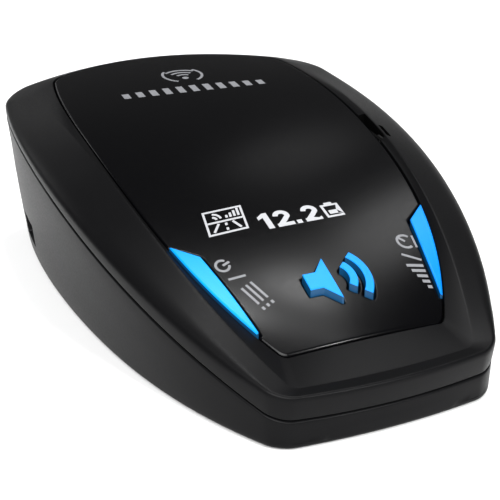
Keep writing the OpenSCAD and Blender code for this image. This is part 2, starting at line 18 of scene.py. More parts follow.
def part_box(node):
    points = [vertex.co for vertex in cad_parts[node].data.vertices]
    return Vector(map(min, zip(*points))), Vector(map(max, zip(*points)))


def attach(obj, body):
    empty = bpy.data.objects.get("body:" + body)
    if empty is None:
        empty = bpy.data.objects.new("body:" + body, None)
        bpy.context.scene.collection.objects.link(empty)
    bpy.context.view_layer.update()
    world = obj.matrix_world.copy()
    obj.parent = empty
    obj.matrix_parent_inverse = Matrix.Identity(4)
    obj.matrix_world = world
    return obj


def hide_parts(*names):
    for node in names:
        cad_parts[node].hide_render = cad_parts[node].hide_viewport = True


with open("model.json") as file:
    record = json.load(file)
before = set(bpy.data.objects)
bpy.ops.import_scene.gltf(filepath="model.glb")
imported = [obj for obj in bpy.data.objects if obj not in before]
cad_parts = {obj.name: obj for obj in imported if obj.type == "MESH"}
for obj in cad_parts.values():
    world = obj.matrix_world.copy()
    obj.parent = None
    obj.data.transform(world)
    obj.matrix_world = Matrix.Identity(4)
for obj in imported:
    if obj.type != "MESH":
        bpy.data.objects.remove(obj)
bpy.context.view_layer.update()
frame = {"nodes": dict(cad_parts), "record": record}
MM = 0.001
BODIES = frame["record"]["behaviour"]["bodies"]
BODY_OF = {node: body for body, nodes in BODIES.items() for node in nodes}


def box_mm(node):
    """The lowest and highest corners of a CAD node, in millimetres."""
    return [np.array(corner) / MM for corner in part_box(node)]


# %% [markdown]
# ## One small function for nodes
# Materials and Geometry Nodes are both trees of nodes. Writing each tree by hand is long, so one
# function adds a node with its settings, and takes either a value or another node's output for
# each of its sockets. Colours are written as the hex values that a paint chart gives, and one
# function turns them into the linear values that a renderer needs.

# %% Helpers for node trees and colours
def add(tree, kind, sockets=(), **settings):
    """Adds a node. sockets maps an input's name or number to a value or to an output to link."""
    node = tree.nodes.new(kind)
    for name, value in settings.items():
        setattr(node, name, value)
    for name, value in dict(sockets).items():
        if isinstance(value, bpy.types.NodeSocket):
            tree.links.new(value, node.inputs[name])
        else:
            node.inputs[name].default_value = value
    return node


def linear(hex_colour, alpha=1.0):
    """An sRGB hex colour as linear red, green, blue and alpha."""
    parts = [int(hex_colour[i : i + 2], 16) / 255 for i in (1, 3, 5)]
    return [p / 12.92 if p <= 0.04045 else ((p + 0.055) / 1.055) ** 2.4 for p in parts] + [alpha]


# %% [markdown]
# ## Plastics, rubbers, metals and boards
# Almost every finish here is a base colour with a slight change across the surface, a roughness
# that is never quite even, and a grain left by the tool that made the part. One function builds
# that. The grain's size is its real size in millimetres where that shows at arm's length, and
# up to three times coarser where the true one would vanish. Object coordinates carry the
# pattern, because they stay with the piece when a key moves.

# %% The surface function
def fresh_material(name):
    """An empty material, its tree, and the node that gives places on the piece."""
    material = bpy.data.materials.new(name)
    material.use_nodes = True
    material.node_tree.nodes.clear()
    return material, material.node_tree, add(material.node_tree, "ShaderNodeTexCoord")


def surface(name, dark, light, rough, grain, depth, cloud=9.0, stretch=(1, 1, 1), **shader):
    """A finish: colours between dark and light over clouds of that size, roughness between two
    values, and a grain of that size and depth. All sizes are millimetres."""
    material, tree, place = fresh_material(name)
    along = add(tree, "ShaderNodeMapping", {"Vector": place.outputs["Object"], "Scale": stretch})
    clouds = add(tree, "ShaderNodeTexNoise",
                 {"Vector": place.outputs["Object"], "Scale": 1 / (cloud * MM), "Detail": 3.0})
    speckle = add(tree, "ShaderNodeTexNoise",
                  {"Vector": along.outputs["Vector"], "Scale": 1 / (grain * MM), "Detail": 2.0})
    colour = add(tree, "ShaderNodeMix", {0: clouds.outputs[0], 6: linear(dark), 7: linear(light)},
                 data_type="RGBA")
    gloss = add(tree, "ShaderNodeMapRange",
                {"Value": speckle.outputs[0], "From Min": 0.3, "From Max": 0.7,
                 "To Min": rough[0], "To Max": rough[1]})
    relief = add(tree, "ShaderNodeBump",
                 {"Height": speckle.outputs[0], "Strength": 0.6, "Distance": depth * MM})
    base = add(tree, "ShaderNodeBsdfPrincipled",
               {"Base Color": colour.outputs[2], "Roughness": gloss.outputs[0],
                "Normal": relief.outputs[0], **shader})
    add(tree, "ShaderNodeOutputMaterial", {"Surface": base.outputs[0]})
    return material


# %% [markdown]
# ## The case's own finishes
# - **Satin ABS**: the two shells are injection moulded in a lightly spark-eroded tool. That gives
#   a near-black that greys where light rakes over it, with a fine even grain and a soft sheen.
# - **Hard-coated acrylic**: the window is pressed from smoked sheet and coated, so it is almost
#   black, very smooth, and shows a lamp as a clear pool of light.
# - **Lit polycarbonate**: the keys are translucent caps with a lamp below. They look nearly even,
#   a little paler where the lamp is close, and their side walls carry a deep blue painted shade.
# - **Soft rubber** and **screen ink** are matt, and the ink has a slightly uneven film.
#
# A plastic's usual specular level is 0.5. Over a white floor that turns black walls grey, and the
# object's own are nearly black, so the shells, the window and the cloth are matched below it.

# %% Finishes of the outside
satin_abs = surface("satin_abs", "#080809", "#0c0c0d", (0.34, 0.42), 0.35, 0.006,
                    **{"IOR": 1.5, "Specular IOR Level": 0.08})
hard_acrylic = surface("hard_acrylic", "#020203", "#040405", (0.2, 0.23), 0.9, 0.0004, cloud=30.0,
                       **{"IOR": 1.49, "Specular IOR Level": 0.14})
seal_rubber = surface("seal_rubber", "#060606", "#0b0b0b", (0.7, 0.85), 0.3, 0.01)
pad_rubber = surface("pad_rubber", "#131314", "#1c1c1d", (0.75, 0.9), 0.25, 0.03)
screen_ink = surface("screen_ink", "#6c6d70", "#7a7b7f", (0.45, 0.6), 0.2, 0.002, cloud=2.0)
# Painted shade: the keys' own blue, darkened for their side walls and for the symbol key's base.
key_shade_blue = surface("key_shade_blue", "#0a3a60", "#0f4c75", (0.3, 0.4), 0.4, 0.003)
ir_acrylic = surface("ir_acrylic", "#1c0407", "#2a070b", (0.06, 0.1), 0.8, 0.0005,
                     **{"IOR": 1.49, "Specular IOR Level": 0.15})
cloth_black = surface("cloth_black", "#020202", "#060606", (0.6, 0.8), 0.12, 0.01,
                      **{"Specular IOR Level": 0.08})
# Painted shade: the sound slot's walls are the case's own plastic, made near black and nearly
# without sheen.
slot_painted_shade = surface("slot_painted_shade", "#010101", "#030303", (0.7, 0.85), 0.3, 0.004,
                     **{"Specular IOR Level": 0.04})
foil_plate = surface("foil_plate", "#8e9094", "#a3a5a9", (0.3, 0.42), 0.15, 0.003,
                     stretch=(0.05, 1, 1), Metallic=0.9)
zinc_steel = surface("zinc_steel", "#9b9ea4", "#b5b8bd", (0.25, 0.38), 0.2, 0.002, Metallic=1.0)
black_nylon = surface("black_nylon", "#0d0d0e", "#151516", (0.4, 0.5), 0.25, 0.005)
contact_gold = surface("contact_gold", "#c9a24a", "#dbb860", (0.22, 0.3), 0.2, 0.001, Metallic=1.0)
print("outside finishes", len(bpy.data.materials))


# %% [markdown]
# ## Lit plastic
# The lamp sits below the middle of each cap, so the glow is strongest there and falls off towards
# the ends. A gradient in the piece's own coordinates does that: distance from the lamp's place
# drives a colour ramp, and the ramp feeds both the surface colour and its light.

# %% The lit finishes
def lit(name, lamp, near, far, reach, strength, rough):
    """Plastic lit from below at a place in millimetres, paler near the lamp than at its reach."""
    material, tree, place = fresh_material(name)
    gap = add(tree, "ShaderNodeVectorMath",
              {0: place.outputs["Object"], 1: [v * MM for v in lamp]}, operation="DISTANCE")
    mottle = add(tree, "ShaderNodeTexNoise",
                 {"Vector": place.outputs["Object"], "Scale": 1 / (1.5 * MM), "Detail": 2.0})
    spread = add(tree, "ShaderNodeMapRange",
                 {"Value": gap.outputs["Value"], "From Max": reach * MM})
    uneven = add(tree, "ShaderNodeMath",
                 {0: mottle.outputs[0], 1: 0.16, 2: spread.outputs[0]}, operation="MULTIPLY_ADD")
    ramp = add(tree, "ShaderNodeValToRGB", {"Fac": uneven.outputs[0]})
    ramp.color_ramp.elements[0].color = linear(near)
    ramp.color_ramp.elements[1].color = linear(far)
    base = add(tree, "ShaderNodeBsdfPrincipled",
               {"Base Color": ramp.outputs[0], "Emission Color": ramp.outputs[0],
                "Emission Strength": strength, "Roughness": rough, "IOR": 1.58,
                "Specular IOR Level": 0.15})
    add(tree, "ShaderNodeOutputMaterial", {"Surface": base.outputs[0]})
    return material


# %% [markdown]
# ## The curves that rule the case
# Seen from above the case is a shield: narrow at the end near the driver, widest two thirds of the
# way forward. Every edge of it, from the base to the window, is the same kind of loop with its own
# widths and heights. A modeller could draw each loop by hand and bridge them, but a rule is safer:
# five widths and five heights pass through one smooth curve, and all the loops share their
# stations, so any two of them can be skinned together. These are the rules of the solid model,
# read at closer stations, which is what makes the reflections run smoothly.

# %% Sizes and the smooth curve
CASE_W, CASE_LEN, CASE_H = 78.0, 114.0, 34.0
WALL, FLOOR, SEAM, BASE_Z = 2.2, 1.8, 0.4, 0.4
LENS_T, LENS_CROWN, KEY_GAP, KEY_PROUD, SYMBOL_PROUD = 2.0, 0.8, 0.25, 0.5, 1.1
TRAVEL, DECK_GAP = 0.4, 0.15
HALF_W = CASE_W / 2
END_STEPS, SIDE_STEPS, CORNER_STEPS = 40, 110, 12
CAP_SHARES = (0.15, 0.5, 0.85)  # the shares of a loop at which the rows that fill it lie
print("case in mm", CASE_W, CASE_LEN, CASE_H)


def mix(a, b, k):
    return a + (b - a) * k


def through(values, t):
    """The smooth curve through five evenly spaced values, at t from 0 to 1."""
    stations = np.linspace(0, 1, 5)
    total = 0.0
    for i, value in enumerate(values):
        others = np.delete(stations, i)
        total = total + value * np.prod([(t - o) / (stations[i] - o) for o in others], axis=0)
    return total


# %% A loop round the case
class Loop:
    """A shield-shaped edge of the case, from its widths, heights, ends, bulges, crowns, corners."""

    def __init__(self, half, rise, ends, bulge, crown, corner):
        self.half, self.rise, self.ends = list(half), list(rise), list(ends)
        self.bulge, self.crown, self.corner = bulge, crown, corner

    def lifted(self, by):
        rise = [z + by for z in self.rise]
        return Loop(self.half, rise, self.ends, self.bulge, self.crown, self.corner)

    def inset(self, by):
        """The same loop drawn in all round, with its sizes read at the new stations."""
        step = by / (self.ends[1] - self.ends[0])
        at = np.linspace(step, 1 - step, 5)
        half, rise = through(self.half, at) - by, through(self.rise, at)
        ends = [self.ends[0] + by, self.ends[1] - by]
        return Loop(half, rise, ends, self.bulge, self.crown, self.corner)

    def spot(self, t, s):
        arch = 1 - s * s
        return np.stack([s * through(self.half, t), mix(*self.ends, t) + mix(*self.bulge, t) * arch,
                         through(self.rise, t) + mix(*self.crown, t) * arch], axis=-1)

    def points(self, share=1.0):
        t, s = course(self.corner)
        return self.spot(0.5 + (t - 0.5) * share, s * share)

    def at(self, y):
        return (y - self.ends[0]) / (self.ends[1] - self.ends[0])

    def half_at(self, y):
        return through(self.half, self.at(y))

    def rise_at(self, y):
        return through(self.rise, self.at(y))


def course(c):
    """Stations t, s once round a rounded rectangle from the near left, counterclockwise."""
    end, side = np.arange(END_STEPS) / END_STEPS, np.arange(SIDE_STEPS) / SIDE_STEPS
    a = np.arange(CORNER_STEPS) / CORNER_STEPS * math.pi / 2
    sin, cos = np.sin(a), np.cos(a)
    t = [0 * end, c[0] * (1 - cos), mix(c[0], 1 - c[2], side), 1 - c[2] + c[2] * sin,
         0 * end + 1, 1 - c[2] + c[2] * cos, mix(1 - c[2], c[0], side), c[0] * (1 - sin)]
    s = [mix(c[1] - 1, 1 - c[1], end), 1 - c[1] + c[1] * sin, 0 * side + 1, 1 - c[3] + c[3] * cos,
         mix(1 - c[3], c[3] - 1, end), c[3] - 1 - c[3] * sin, 0 * side - 1, c[1] - 1 - c[1] * cos]
    return np.concatenate(t), np.concatenate(s)


# %% The loops of this case
def along(share):
    return (share - 0.5) * CASE_LEN


def widths(*values):
    return [v * HALF_W / 100 for v in values]


def heights(*values):
    return [BASE_Z + v * (CASE_H - BASE_Z) / 100 for v in values]


def bulges(*values):
    return [v * CASE_LEN / 100 for v in values]


CASE_CORNER = [0.022, 0.135, 0.045, 0.12]
shoulder_half = widths(48.3, 80.1, 95.0, 100, 95.9)
shoulder = Loop(shoulder_half, heights(27.8, 52.9, 71.2, 82.6, 91.2), [along(0.016), along(0.912)],
                bulges(-1.6, 8.8), [0, 1.8], CASE_CORNER)
parting = Loop(shoulder_half, heights(14.5, 42.7, 63.3, 76.3, 81.6), [along(0.021), along(0.912)],
               bulges(-1.6, 8.7), [0, 0.3], CASE_CORNER)
crest = Loop(widths(40.6, 62.6, 73, 79.5, 87.2), heights(27.7, 58.9, 80.9, 90.2, 93.7),
             [along(0.033), along(0.91)], bulges(-0.85, 8.3), [0, 1.9], [0.012, 0.08, 0.068, 0.19])
lens = Loop(widths(36.6, 61.7, 70.4, 73.1, 67.5), heights(32, 61.4, 80.5, 91.7, 97.6),
            [along(0.092), along(0.911)], bulges(-0.7, 7.2), [LENS_CROWN] * 2,
            [0.01, 0.06, 0.03, 0.1])
base = Loop(widths(47.5, 77.8, 91.1, 95.8, 91.1), [BASE_Z] * 5, [along(0.018), along(0.9)],
            bulges(-1.1, 8.8), [0, 0], CASE_CORNER)


def lens_top(x, y):
    """The height of the window's face above a place on the plan."""
    arch = 1 - (x / lens.half_at(y)) ** 2
    t = lens.at(y - mix(*lens.bulge, lens.at(y)) * arch)
    return through(lens.rise, t) + LENS_CROWN * arch


def bezel_top(x, y):
    """The height of the bezel's outer slope above a place on the plan."""
    inner, outer = crest.half_at(y), shoulder.half_at(y)
    return mix(crest.rise_at(y), shoulder.rise_at(y), (abs(x) - inner) / (outer - inner))


print("points round a loop:", len(course(CASE_CORNER)[0]))

# %% [markdown]
# ## Turning points into pieces
# Two kinds of mesh make nearly everything: a skin over a stack of loops, and a plate cut to a
# plan. Both share a last step that makes the object, smooths its faces and keeps the edges that
# are really sharp.

# %% Mesh helpers
def in_scene(name, data):
    """A new object with that data, linked to the scene."""
    obj = bpy.data.objects.new(name, data)
    bpy.context.scene.collection.objects.link(obj)
    return obj


def piece(name, points, faces, materials, sharp=35.0, zones=None):
    """A mesh object from points in millimetres, smooth but for edges sharper than that angle."""
    mesh = bpy.data.meshes.new(name)
    mesh.from_pydata([[v * MM for v in p] for p in points], [], [list(map(int, f)) for f in faces])
    for material in materials:
        mesh.materials.append(material)
    mesh.validate()
    if zones is not None:
        mesh.polygons.foreach_set("material_index", zones)
    obj = in_scene(name, mesh)
    smooth(obj, sharp)
    return obj


def smooth(obj, sharp):
    mesh = obj.data
    mesh.polygons.foreach_set("use_smooth", [True] * len(mesh.polygons))
    mesh.set_sharp_from_angle(angle=math.radians(sharp))
    mesh.update()


# %% Skins over loops
def skin(loops, closed=False):
    """Points and faces over a stack of loops. An open stack is capped at both ends by a middle
    point, and a closed one joins its last loop to its first."""
    n, m = len(loops[0]), len(loops)
    points = np.concatenate(loops)
    i = np.arange(n)
    j = (i + 1) % n
    faces = []
    for row in range(m if closed else m - 1):
        low, high = row * n, (row + 1) % m * n
        faces += np.stack([low + i, low + j, high + j, high + i], axis=1).tolist()
    if not closed:
        points = np.concatenate([points, [loops[0].mean(axis=0)], [loops[-1].mean(axis=0)]])
        faces += np.stack([j, i, 0 * i + n * m], axis=1).tolist()
        faces += np.stack([(m - 1) * n + i, (m - 1) * n + j, 0 * i + n * m + 1], axis=1).tolist()
    return points, faces


def turned(before, corner, after, give, take, steps=6):
    """Loops that round a corner: they leave the edge to "before" and meet the edge to "after" at
    those distances, in millimetres, but never more than 45% of the way along."""
    ends = []
    for end, reach in ((before, give), (after, take)):
        length = np.linalg.norm(end - corner, axis=1, keepdims=True)
        ends.append(mix(corner, end, np.minimum(reach / np.maximum(length, 0.001), 0.45)))
    return [(1 - k) ** 2 * ends[0] + 2 * k * (1 - k) * corner + k * k * ends[1]
            for k in np.linspace(0, 1, steps + 1)]


def solid(name, loops, materials=(), **extra):
    """A closed piece skinned over a stack of loops."""
    points, faces = skin(loops)
    return piece(name, points, faces, materials, **extra)


# %% Cutting
def carve(obj, cutters, operation="DIFFERENCE", sharp=35.0):
    """Cuts closed shapes out of a piece, or keeps or adds them, and removes the cutters."""
    for cutter in cutters:
        cut = obj.modifiers.new("cut", "BOOLEAN")
        cut.operation, cut.solver, cut.object = operation, "EXACT", cutter
    settled(obj, sharp)
    for cutter in cutters:
        bpy.data.objects.remove(cutter)
    return obj


def settled(obj, sharp=35.0):
    """Turns what the modifiers make into the piece's own mesh."""
    graph = bpy.context.evaluated_depsgraph_get()
    shape = bpy.data.meshes.new_from_object(obj.evaluated_get(graph))
    obj.modifiers.clear()
    obj.data = shape
    smooth(obj, sharp)
    return obj


# %% Plain rings and cutters
def upright(ring, levels):
    """A ring drawn on the plan, repeated at each of those heights."""
    return [np.column_stack([ring, np.full(len(ring), z)]) for z in levels]


def block(low, high, grow=0.0):
    """The loops of a block between two corners, grown all round."""
    a, b = np.array(low) - grow, np.array(high) + grow
    return upright([[a[0], a[1]], [b[0], a[1]], [b[0], b[1]], [a[0], b[1]]], (a[2], b[2]))


def rounded(wide, tall, radius, steps=6):
    """A rounded rectangle about the origin, counterclockwise."""
    out = []
    for cx, cy, start in ((1, -1, -90), (1, 1, 0), (-1, 1, 90), (-1, -1, 180)):
        for a in np.radians(np.linspace(start, start + 90, steps + 1)):
            out.append([cx * (wide / 2 - radius) + radius * math.cos(a),
                        cy * (tall / 2 - radius) + radius * math.sin(a)])
    return np.array(out)


def disc(x, y, radius, steps=48):
    a = np.arange(steps) * 2 * math.pi / steps
    return np.column_stack([x + radius * np.cos(a), y + radius * np.sin(a)])


def post(x, y, radius, low, high):
    return upright(disc(x, y, radius), (low, high))


# %% [markdown]
# ## Plates cut to a plan
# The window, the keys, the pad and every printed mark are the same thing to a maker: a thin plate
# cut to an outline, with an eased edge, that follows the window's curve. A cube with a Boolean and
# a Bevel would do it, but a Bevel struggles on long slivers. So the outline is triangulated with
# extra points inside it, and each point's height is the face's height less what the eased edge
# takes away at that distance from the outline.

# %% Which points belong to the plan
def inside(points, polygon):
    """Which points lie inside a polygon."""
    x, y = points[:, 0], points[:, 1]
    result = np.zeros(len(points), bool)
    for (x0, y0), (x1, y1) in zip(polygon, np.roll(polygon, -1, axis=0)):
        if y0 != y1:
            crosses = (y0 > y) != (y1 > y)
            result ^= crosses & (x < (x1 - x0) * (y - y0) / (y1 - y0) + x0)
    return result


def kept(points, solids, within, holes):
    """Which points lie in any of the solids, in all of within, and in none of the holes."""
    keep = np.any([inside(points, p) for p in solids], axis=0)
    for polygon in within:
        keep &= inside(points, polygon)
    for polygon in holes:
        keep &= ~inside(points, polygon)
    return keep


# %% Triangles and their border
def triangulate(points, edges, rule):
    """Triangles over the points that use those edges, where the rule keeps them."""
    verts, _, faces, *_ = delaunay_2d_cdt([Vector(p) for p in points], edges, [], 0, 1e-5)
    verts = np.array([list(v) for v in verts])
    faces = np.array([list(f) for f in faces])
    faces = faces[kept(verts[faces].mean(axis=1), *rule)]
    used, flat = np.unique(faces, return_inverse=True)
    return verts[used], flat.reshape(-1, 3)


def border(faces):
    """The directed edges that only one triangle has."""
    edges = np.concatenate([faces[:, [0, 1]], faces[:, [1, 2]], faces[:, [2, 0]]])
    seen = {tuple(e) for e in edges.tolist()}
    return np.array([e for e in edges.tolist() if (e[1], e[0]) not in seen])


def ring_edges(polygons):
    """The points of closed rings and the edges between them, as numbers."""
    points, edges = [], []
    for polygon in polygons:
        n, at = len(polygon), len(points)
        points += [list(p) for p in polygon]
        edges += [(at + i, at + (i + 1) % n) for i in range(n)]
    return points, edges


# %% Distances and rings along the border
def distance(points, start, stop):
    """The distance from each point to the nearest of the border's edges, and the unit step away
    from that edge."""
    best = np.full(len(points), 1e9)
    way = np.zeros((len(points), 2))
    for a, b in zip(start, stop):
        part = np.clip((points - a) @ (b - a) / max((b - a) @ (b - a), 1e-12), 0, 1)
        apart = points - a - part[:, None] * (b - a)
        gap = np.linalg.norm(apart, axis=1)
        nearer = gap < best
        best = np.where(nearer, gap, best)
        side = np.array([a[1] - b[1], b[0] - a[0]]) / max(np.linalg.norm(b - a), 1e-9)
        away = np.where(gap[:, None] > 1e-4, apart / np.maximum(gap, 1e-4)[:, None], side)
        way = np.where(nearer[:, None], away, way)
    return best, way


def chained(rim):
    """The border's directed edges as closed loops of point numbers."""
    ahead = dict(rim.tolist())
    loops = []
    while ahead:
        at, stop = ahead.popitem()
        loop = [at]
        while stop in ahead:
            loop.append(stop)
            stop = ahead.pop(stop)
        loops.append(loop)
    return loops


def divided(ring, spacing):
    """A closed ring with extra points, so that no edge is longer than the spacing."""
    out = []
    for a, b in zip(ring, np.roll(ring, -1, axis=0)):
        steps = max(1, math.ceil(np.linalg.norm(b - a) / spacing))
        out += [mix(a, b, k / steps) for k in range(steps)]
    return np.array(out)


def drawn_in(ring, depth):
    """A closed ring moved to its left by a depth, which is towards the material."""
    behind, ahead = ring - np.roll(ring, 1, axis=0), np.roll(ring, -1, axis=0) - ring
    sides = [np.column_stack([-e[:, 1], e[:, 0]]) / np.linalg.norm(e, axis=1, keepdims=True)
             for e in (behind, ahead)]
    middle = sides[0] + sides[1]
    reach = depth / np.clip((middle * middle).sum(axis=1) / 2, 0.6, 2)
    return ring + middle * reach[:, None]


# %% The plan of a plate, in triangles
EASE = (0.08, 0.25, 0.5, 0.75, 1.0)  # how far into the eased edge each extra ring lies
STEP = 0.01  # the step in millimetres over which a face's slope is measured


def eased_rings(rings, lip, rule, start, stop, points, edges):
    """Adds rings along the eased edge, but only where they stay clear of the border."""
    for ease in EASE:
        for ring in rings:
            inner = drawn_in(ring, ease * lip)
            clear = kept(inner, *rule) & (distance(inner, start, stop)[0] > 0.9 * ease * lip)
            number = np.cumsum(clear) - 1 + len(points)
            points += inner[clear].tolist()
            after = np.roll(np.arange(len(inner)), -1)
            edges += [(number[i], number[after[i]]) for i in range(len(inner))
                      if clear[i] and clear[after[i]]]


def cut_plan(rule, lip, spacing):
    """The plan's points and triangles, and each point's distance and way from the outline."""
    verts, faces = triangulate(*ring_edges([*rule[0], *rule[1], *rule[2]]), rule)
    rings = [divided(verts[loop], spacing * 0.6) for loop in chained(border(faces))]
    start = np.concatenate(rings)
    stop = np.concatenate([np.roll(ring, -1, axis=0) for ring in rings])
    points, edges = ring_edges(rings)
    if lip:
        eased_rings(rings, lip, rule, start, stop, points, edges)
    low, high = start.min(axis=0), start.max(axis=0)
    lines = [np.arange(low[i] + 0.37 * spacing, high[i], spacing) for i in (0, 1)]
    grid = np.stack(np.meshgrid(*lines), -1).reshape(-1, 2)
    grid = grid[kept(grid, *rule)]
    points += grid[distance(grid, start, stop)[0] > lip + 0.3 * spacing].tolist()
    verts, faces = triangulate(points, edges, rule)
    return verts, faces, *distance(verts, start, stop)


# %% The plate function
def plate(name, solids, top, bottom, materials, within=(), holes=(), lip=0.0, spacing=1.0,
          side_zone=0, face_down=False):
    """A plate over the area inside solids and within, less holes. top and bottom give heights,
    and lip is the radius of the eased edge round its face."""
    rule = [[np.array(p) for p in group] for group in (solids, within, holes)]
    verts, faces, gap, inward = cut_plan(rule, lip, spacing)
    rim = border(faces)
    x, y = verts[:, 0], verts[:, 1]
    upper = top(x, y)
    lean = np.column_stack([top(x + STEP, y) - top(x - STEP, y),
                            top(x, y + STEP) - top(x, y - STEP)]) / (2 * STEP)
    if lip:
        depth = np.clip(gap / lip, 0, 1)
        height = np.sqrt(np.clip(1 - (1 - depth) ** 2, 0, 1))
        upper = upper - lip * (1 - height)
        lean = lean + inward * ((1 - depth) / np.maximum(height, 0.12))[:, None]
    n = len(verts)
    points = np.concatenate([np.column_stack([verts, z]) for z in (upper, bottom(x, y))])
    walls = np.column_stack([rim[:, 1], rim[:, 0], rim[:, 0] + n, rim[:, 1] + n])
    everything = faces.tolist() + (faces[:, ::-1] + n).tolist() + walls.tolist()
    zones = [0] * len(faces) + [side_zone] * (len(faces) + len(walls))
    normals = np.column_stack([-lean, np.ones(n)])
    if face_down:
        points[:, 2] *= -1
        normals[:, 2] *= -1
        everything = [f[::-1] for f in everything]
    obj = piece(name, points, everything, materials, sharp=50.0, zones=zones)
    shade_face(obj, len(faces), normals / np.linalg.norm(normals, axis=1, keepdims=True))
    return obj


def shade_face(obj, count, normals):
    """Gives the plate's face the exact normals of its curve. The other faces keep their own."""
    mesh = obj.data
    corners = [Vector(c.vector) for c in mesh.corner_normals]
    for face in mesh.polygons[:count]:
        for corner, vertex in zip(face.loop_indices, face.vertices):
            corners[corner] = Vector(normals[vertex])
    mesh.normals_split_custom_set(corners)


def level(z):
    return lambda x, y: np.full(np.shape(x), float(z))


def on_window(by):
    return lambda x, y: lens_top(x, y) + by


# %% [markdown]
# ## The upper shell
# On the real case this is one moulding: a short side wall, a shoulder that rolls over softly along
# the sides and tightly at the near end, a bezel that climbs to a crisp crest, and a step down into
# the pocket where the window lies. Subdividing a cage would round everything alike. Here each of
# those edges is a loop, and the corner at each loop gets its own radius, so the crest stays crisp
# while the shoulder rolls.

# %% Loft the upper shell
def upper_rows():
    rim = parting.lifted(SEAM / 2)
    pocket = lens.inset(-KEY_GAP)
    deck, under = pocket.lifted(-LENS_T - DECK_GAP), pocket.lifted(-LENS_T - DECK_GAP - FLOOR)
    outer, edge, ridge, brim = [e.points() for e in (rim, shoulder, crest, pocket)]
    inner_rim, inner_edge = rim.inset(WALL).points(), shoulder.inset(WALL).points()
    roof = mix(inner_rim, inner_edge, 0.3)
    t = course(CASE_CORNER)[0][:, None]
    roll = np.clip(t / 0.12, 0, 1) ** 1.5
    rows = [under.points(k) for k in (*CAP_SHARES, 1.0)] + [roof, inner_rim]
    rows += turned(inner_rim, outer, edge, 0.3, 0.3, 4)
    rows += turned(outer, edge, ridge, mix(1.1, 2.0, roll), mix(0.75, 3.6, roll), 10)
    rows += turned(edge, ridge, brim, mix(0.18, 0.6, roll), mix(0.18, 0.45, roll), 5)
    rows += turned(ridge, brim, deck.points(), 0.3, 0.3, 5)
    return rows + [deck.points(k) for k in (1.0, *CAP_SHARES[::-1])]


case_upper = solid("case_upper", upper_rows(), [satin_abs])
print("upper shell faces before its openings", len(case_upper.data.polygons))

# %% [markdown]
# ## The sound slot
# Between the window's right edge and the bezel, a slot lets the speaker's sound out. A wide mouth
# lies beside the window, a narrow one outside the crest, and a tunnel joins them below. A moulder
# would form it with a side action. Here each mouth is a cutter that stands square to the slot's
# own line. The walls are the case's own plastic, but they get a near-black painted shade, because
# no light comes back out of such a gap.

# %% Cut the sound slot
slot_y = along(0.525)
slot_x = float(crest.half_at(slot_y))
slot_lean = -math.atan((crest.half_at(slot_y + 5) - crest.half_at(slot_y - 5)) / 10)
slot_floor = float(bezel_top(slot_x, slot_y)) - 2.6
slot_in = float(lens.half_at(slot_y)) + KEY_GAP - slot_x + 0.05


def slot_place(x, y):
    """A place in the slot's own frame, on the plan of the case."""
    sin, cos = math.sin(slot_lean), math.cos(slot_lean)
    return [slot_x + x * cos - y * sin, slot_y + x * sin + y * cos]


def in_slot(x, y, z):
    """Whether a place is inside the slot, below the bezel's surface."""
    sin, cos = math.sin(slot_lean), math.cos(slot_lean)
    across = (x - slot_x) * cos + (y - slot_y) * sin
    lengthways = (y - slot_y) * cos - (x - slot_x) * sin
    under = z < float(bezel_top(x, y)) - 0.12
    return slot_in - 0.7 < across < 1.6 and abs(lengthways) < 5.4 and under


def slot_mouth(name, low, high, long, tall, middle=0.0, ease=0.5):
    """A cutter for one mouth of the sound slot, with its corners eased."""
    ring = rounded(high - low, long, min(ease, (high - low) * 0.45)) + [(low + high) / 2, middle]
    ring = np.array([slot_place(*p) for p in ring])
    return solid(name, upright(ring, (slot_floor, slot_floor + tall)))


carve(case_upper, [slot_mouth("mouth_in", slot_in - 0.6, -0.2, 10.5, 6)])
carve(case_upper, [slot_mouth("mouth_out", 0.5, 1.5, 4.6, 6, -2.4, 0.3)])
carve(case_upper, [slot_mouth("tunnel", slot_in, 1.45, 4.5, 1.1, -2.4, 0.1)])
print("slot at", round(slot_x, 2), round(slot_y, 2), "floor", round(slot_floor, 2))

# %% Paint shade on the slot's walls
# The slot's walls take the near-black painted shade in place of the case's plastic.
case_upper.data.materials.append(slot_painted_shade)
slot_shade_faces = [face for face in case_upper.data.polygons if in_slot(*[v / MM for v in face.center])]
for face in slot_shade_faces:
    face.material_index = 1
print("slot wall faces", len(slot_shade_faces))

# %% [markdown]
# ## The opening over the display
# The deck under the window is open where the display looks up through it. It is cut from the
# finished shell, as a window is milled into a blank, so its edges stay square.

# %% Open the deck
opening = rounded(38, 10, 0.8) + [0, along(0.328)]
carve(case_upper, [solid("opening", upright(opening, (10, 26)))])
print("upper shell faces", len(case_upper.data.polygons))

# %% [markdown]
# ## The lower shell
# The tub is the deeper moulding. Its wall leans in towards the base, and its rim stands a little
# below the upper shell, so that a dark groove runs right round. The openings are cut last: the
# power socket in the left wall, the window for the light sensor in the far wall, four wells for
# the screws, and shallow beds for the pad and the plate.

# %% Loft the lower shell
def lower_rows():
    rim = parting.lifted(-SEAM / 2)
    foot, top = base.points(), rim.points()
    sole, inner_rim = base.inset(1.5).points(), rim.inset(WALL).points()
    floor_loop = base.inset(WALL).lifted(FLOOR)
    rows = [base.inset(1.5).points(k) for k in CAP_SHARES] + [sole]
    rows += turned(sole, foot, top, 0.7, 0.9, 6)
    belly = {0.2: 0.144, 0.4: 0.192, 0.6: 0.144, 0.8: 0.0}  # how far the wall swells on its way up
    away = top - foot
    away = np.stack([away[:, 0], away[:, 1], 0 * away[:, 0]], axis=1)
    away /= np.maximum(np.linalg.norm(away, axis=1, keepdims=True), 1e-6)
    rows += [mix(foot, top, k) + away * swell for k, swell in belly.items()]
    rows += turned(foot, top, inner_rim, 0.3, 0.3, 4)
    return rows + [inner_rim] + [floor_loop.points(k) for k in (1.0, *CAP_SHARES[::-1])]


case_lower = solid("case_lower", lower_rows(), [satin_abs])
print("lower shell faces before its openings", len(case_lower.data.polygons))

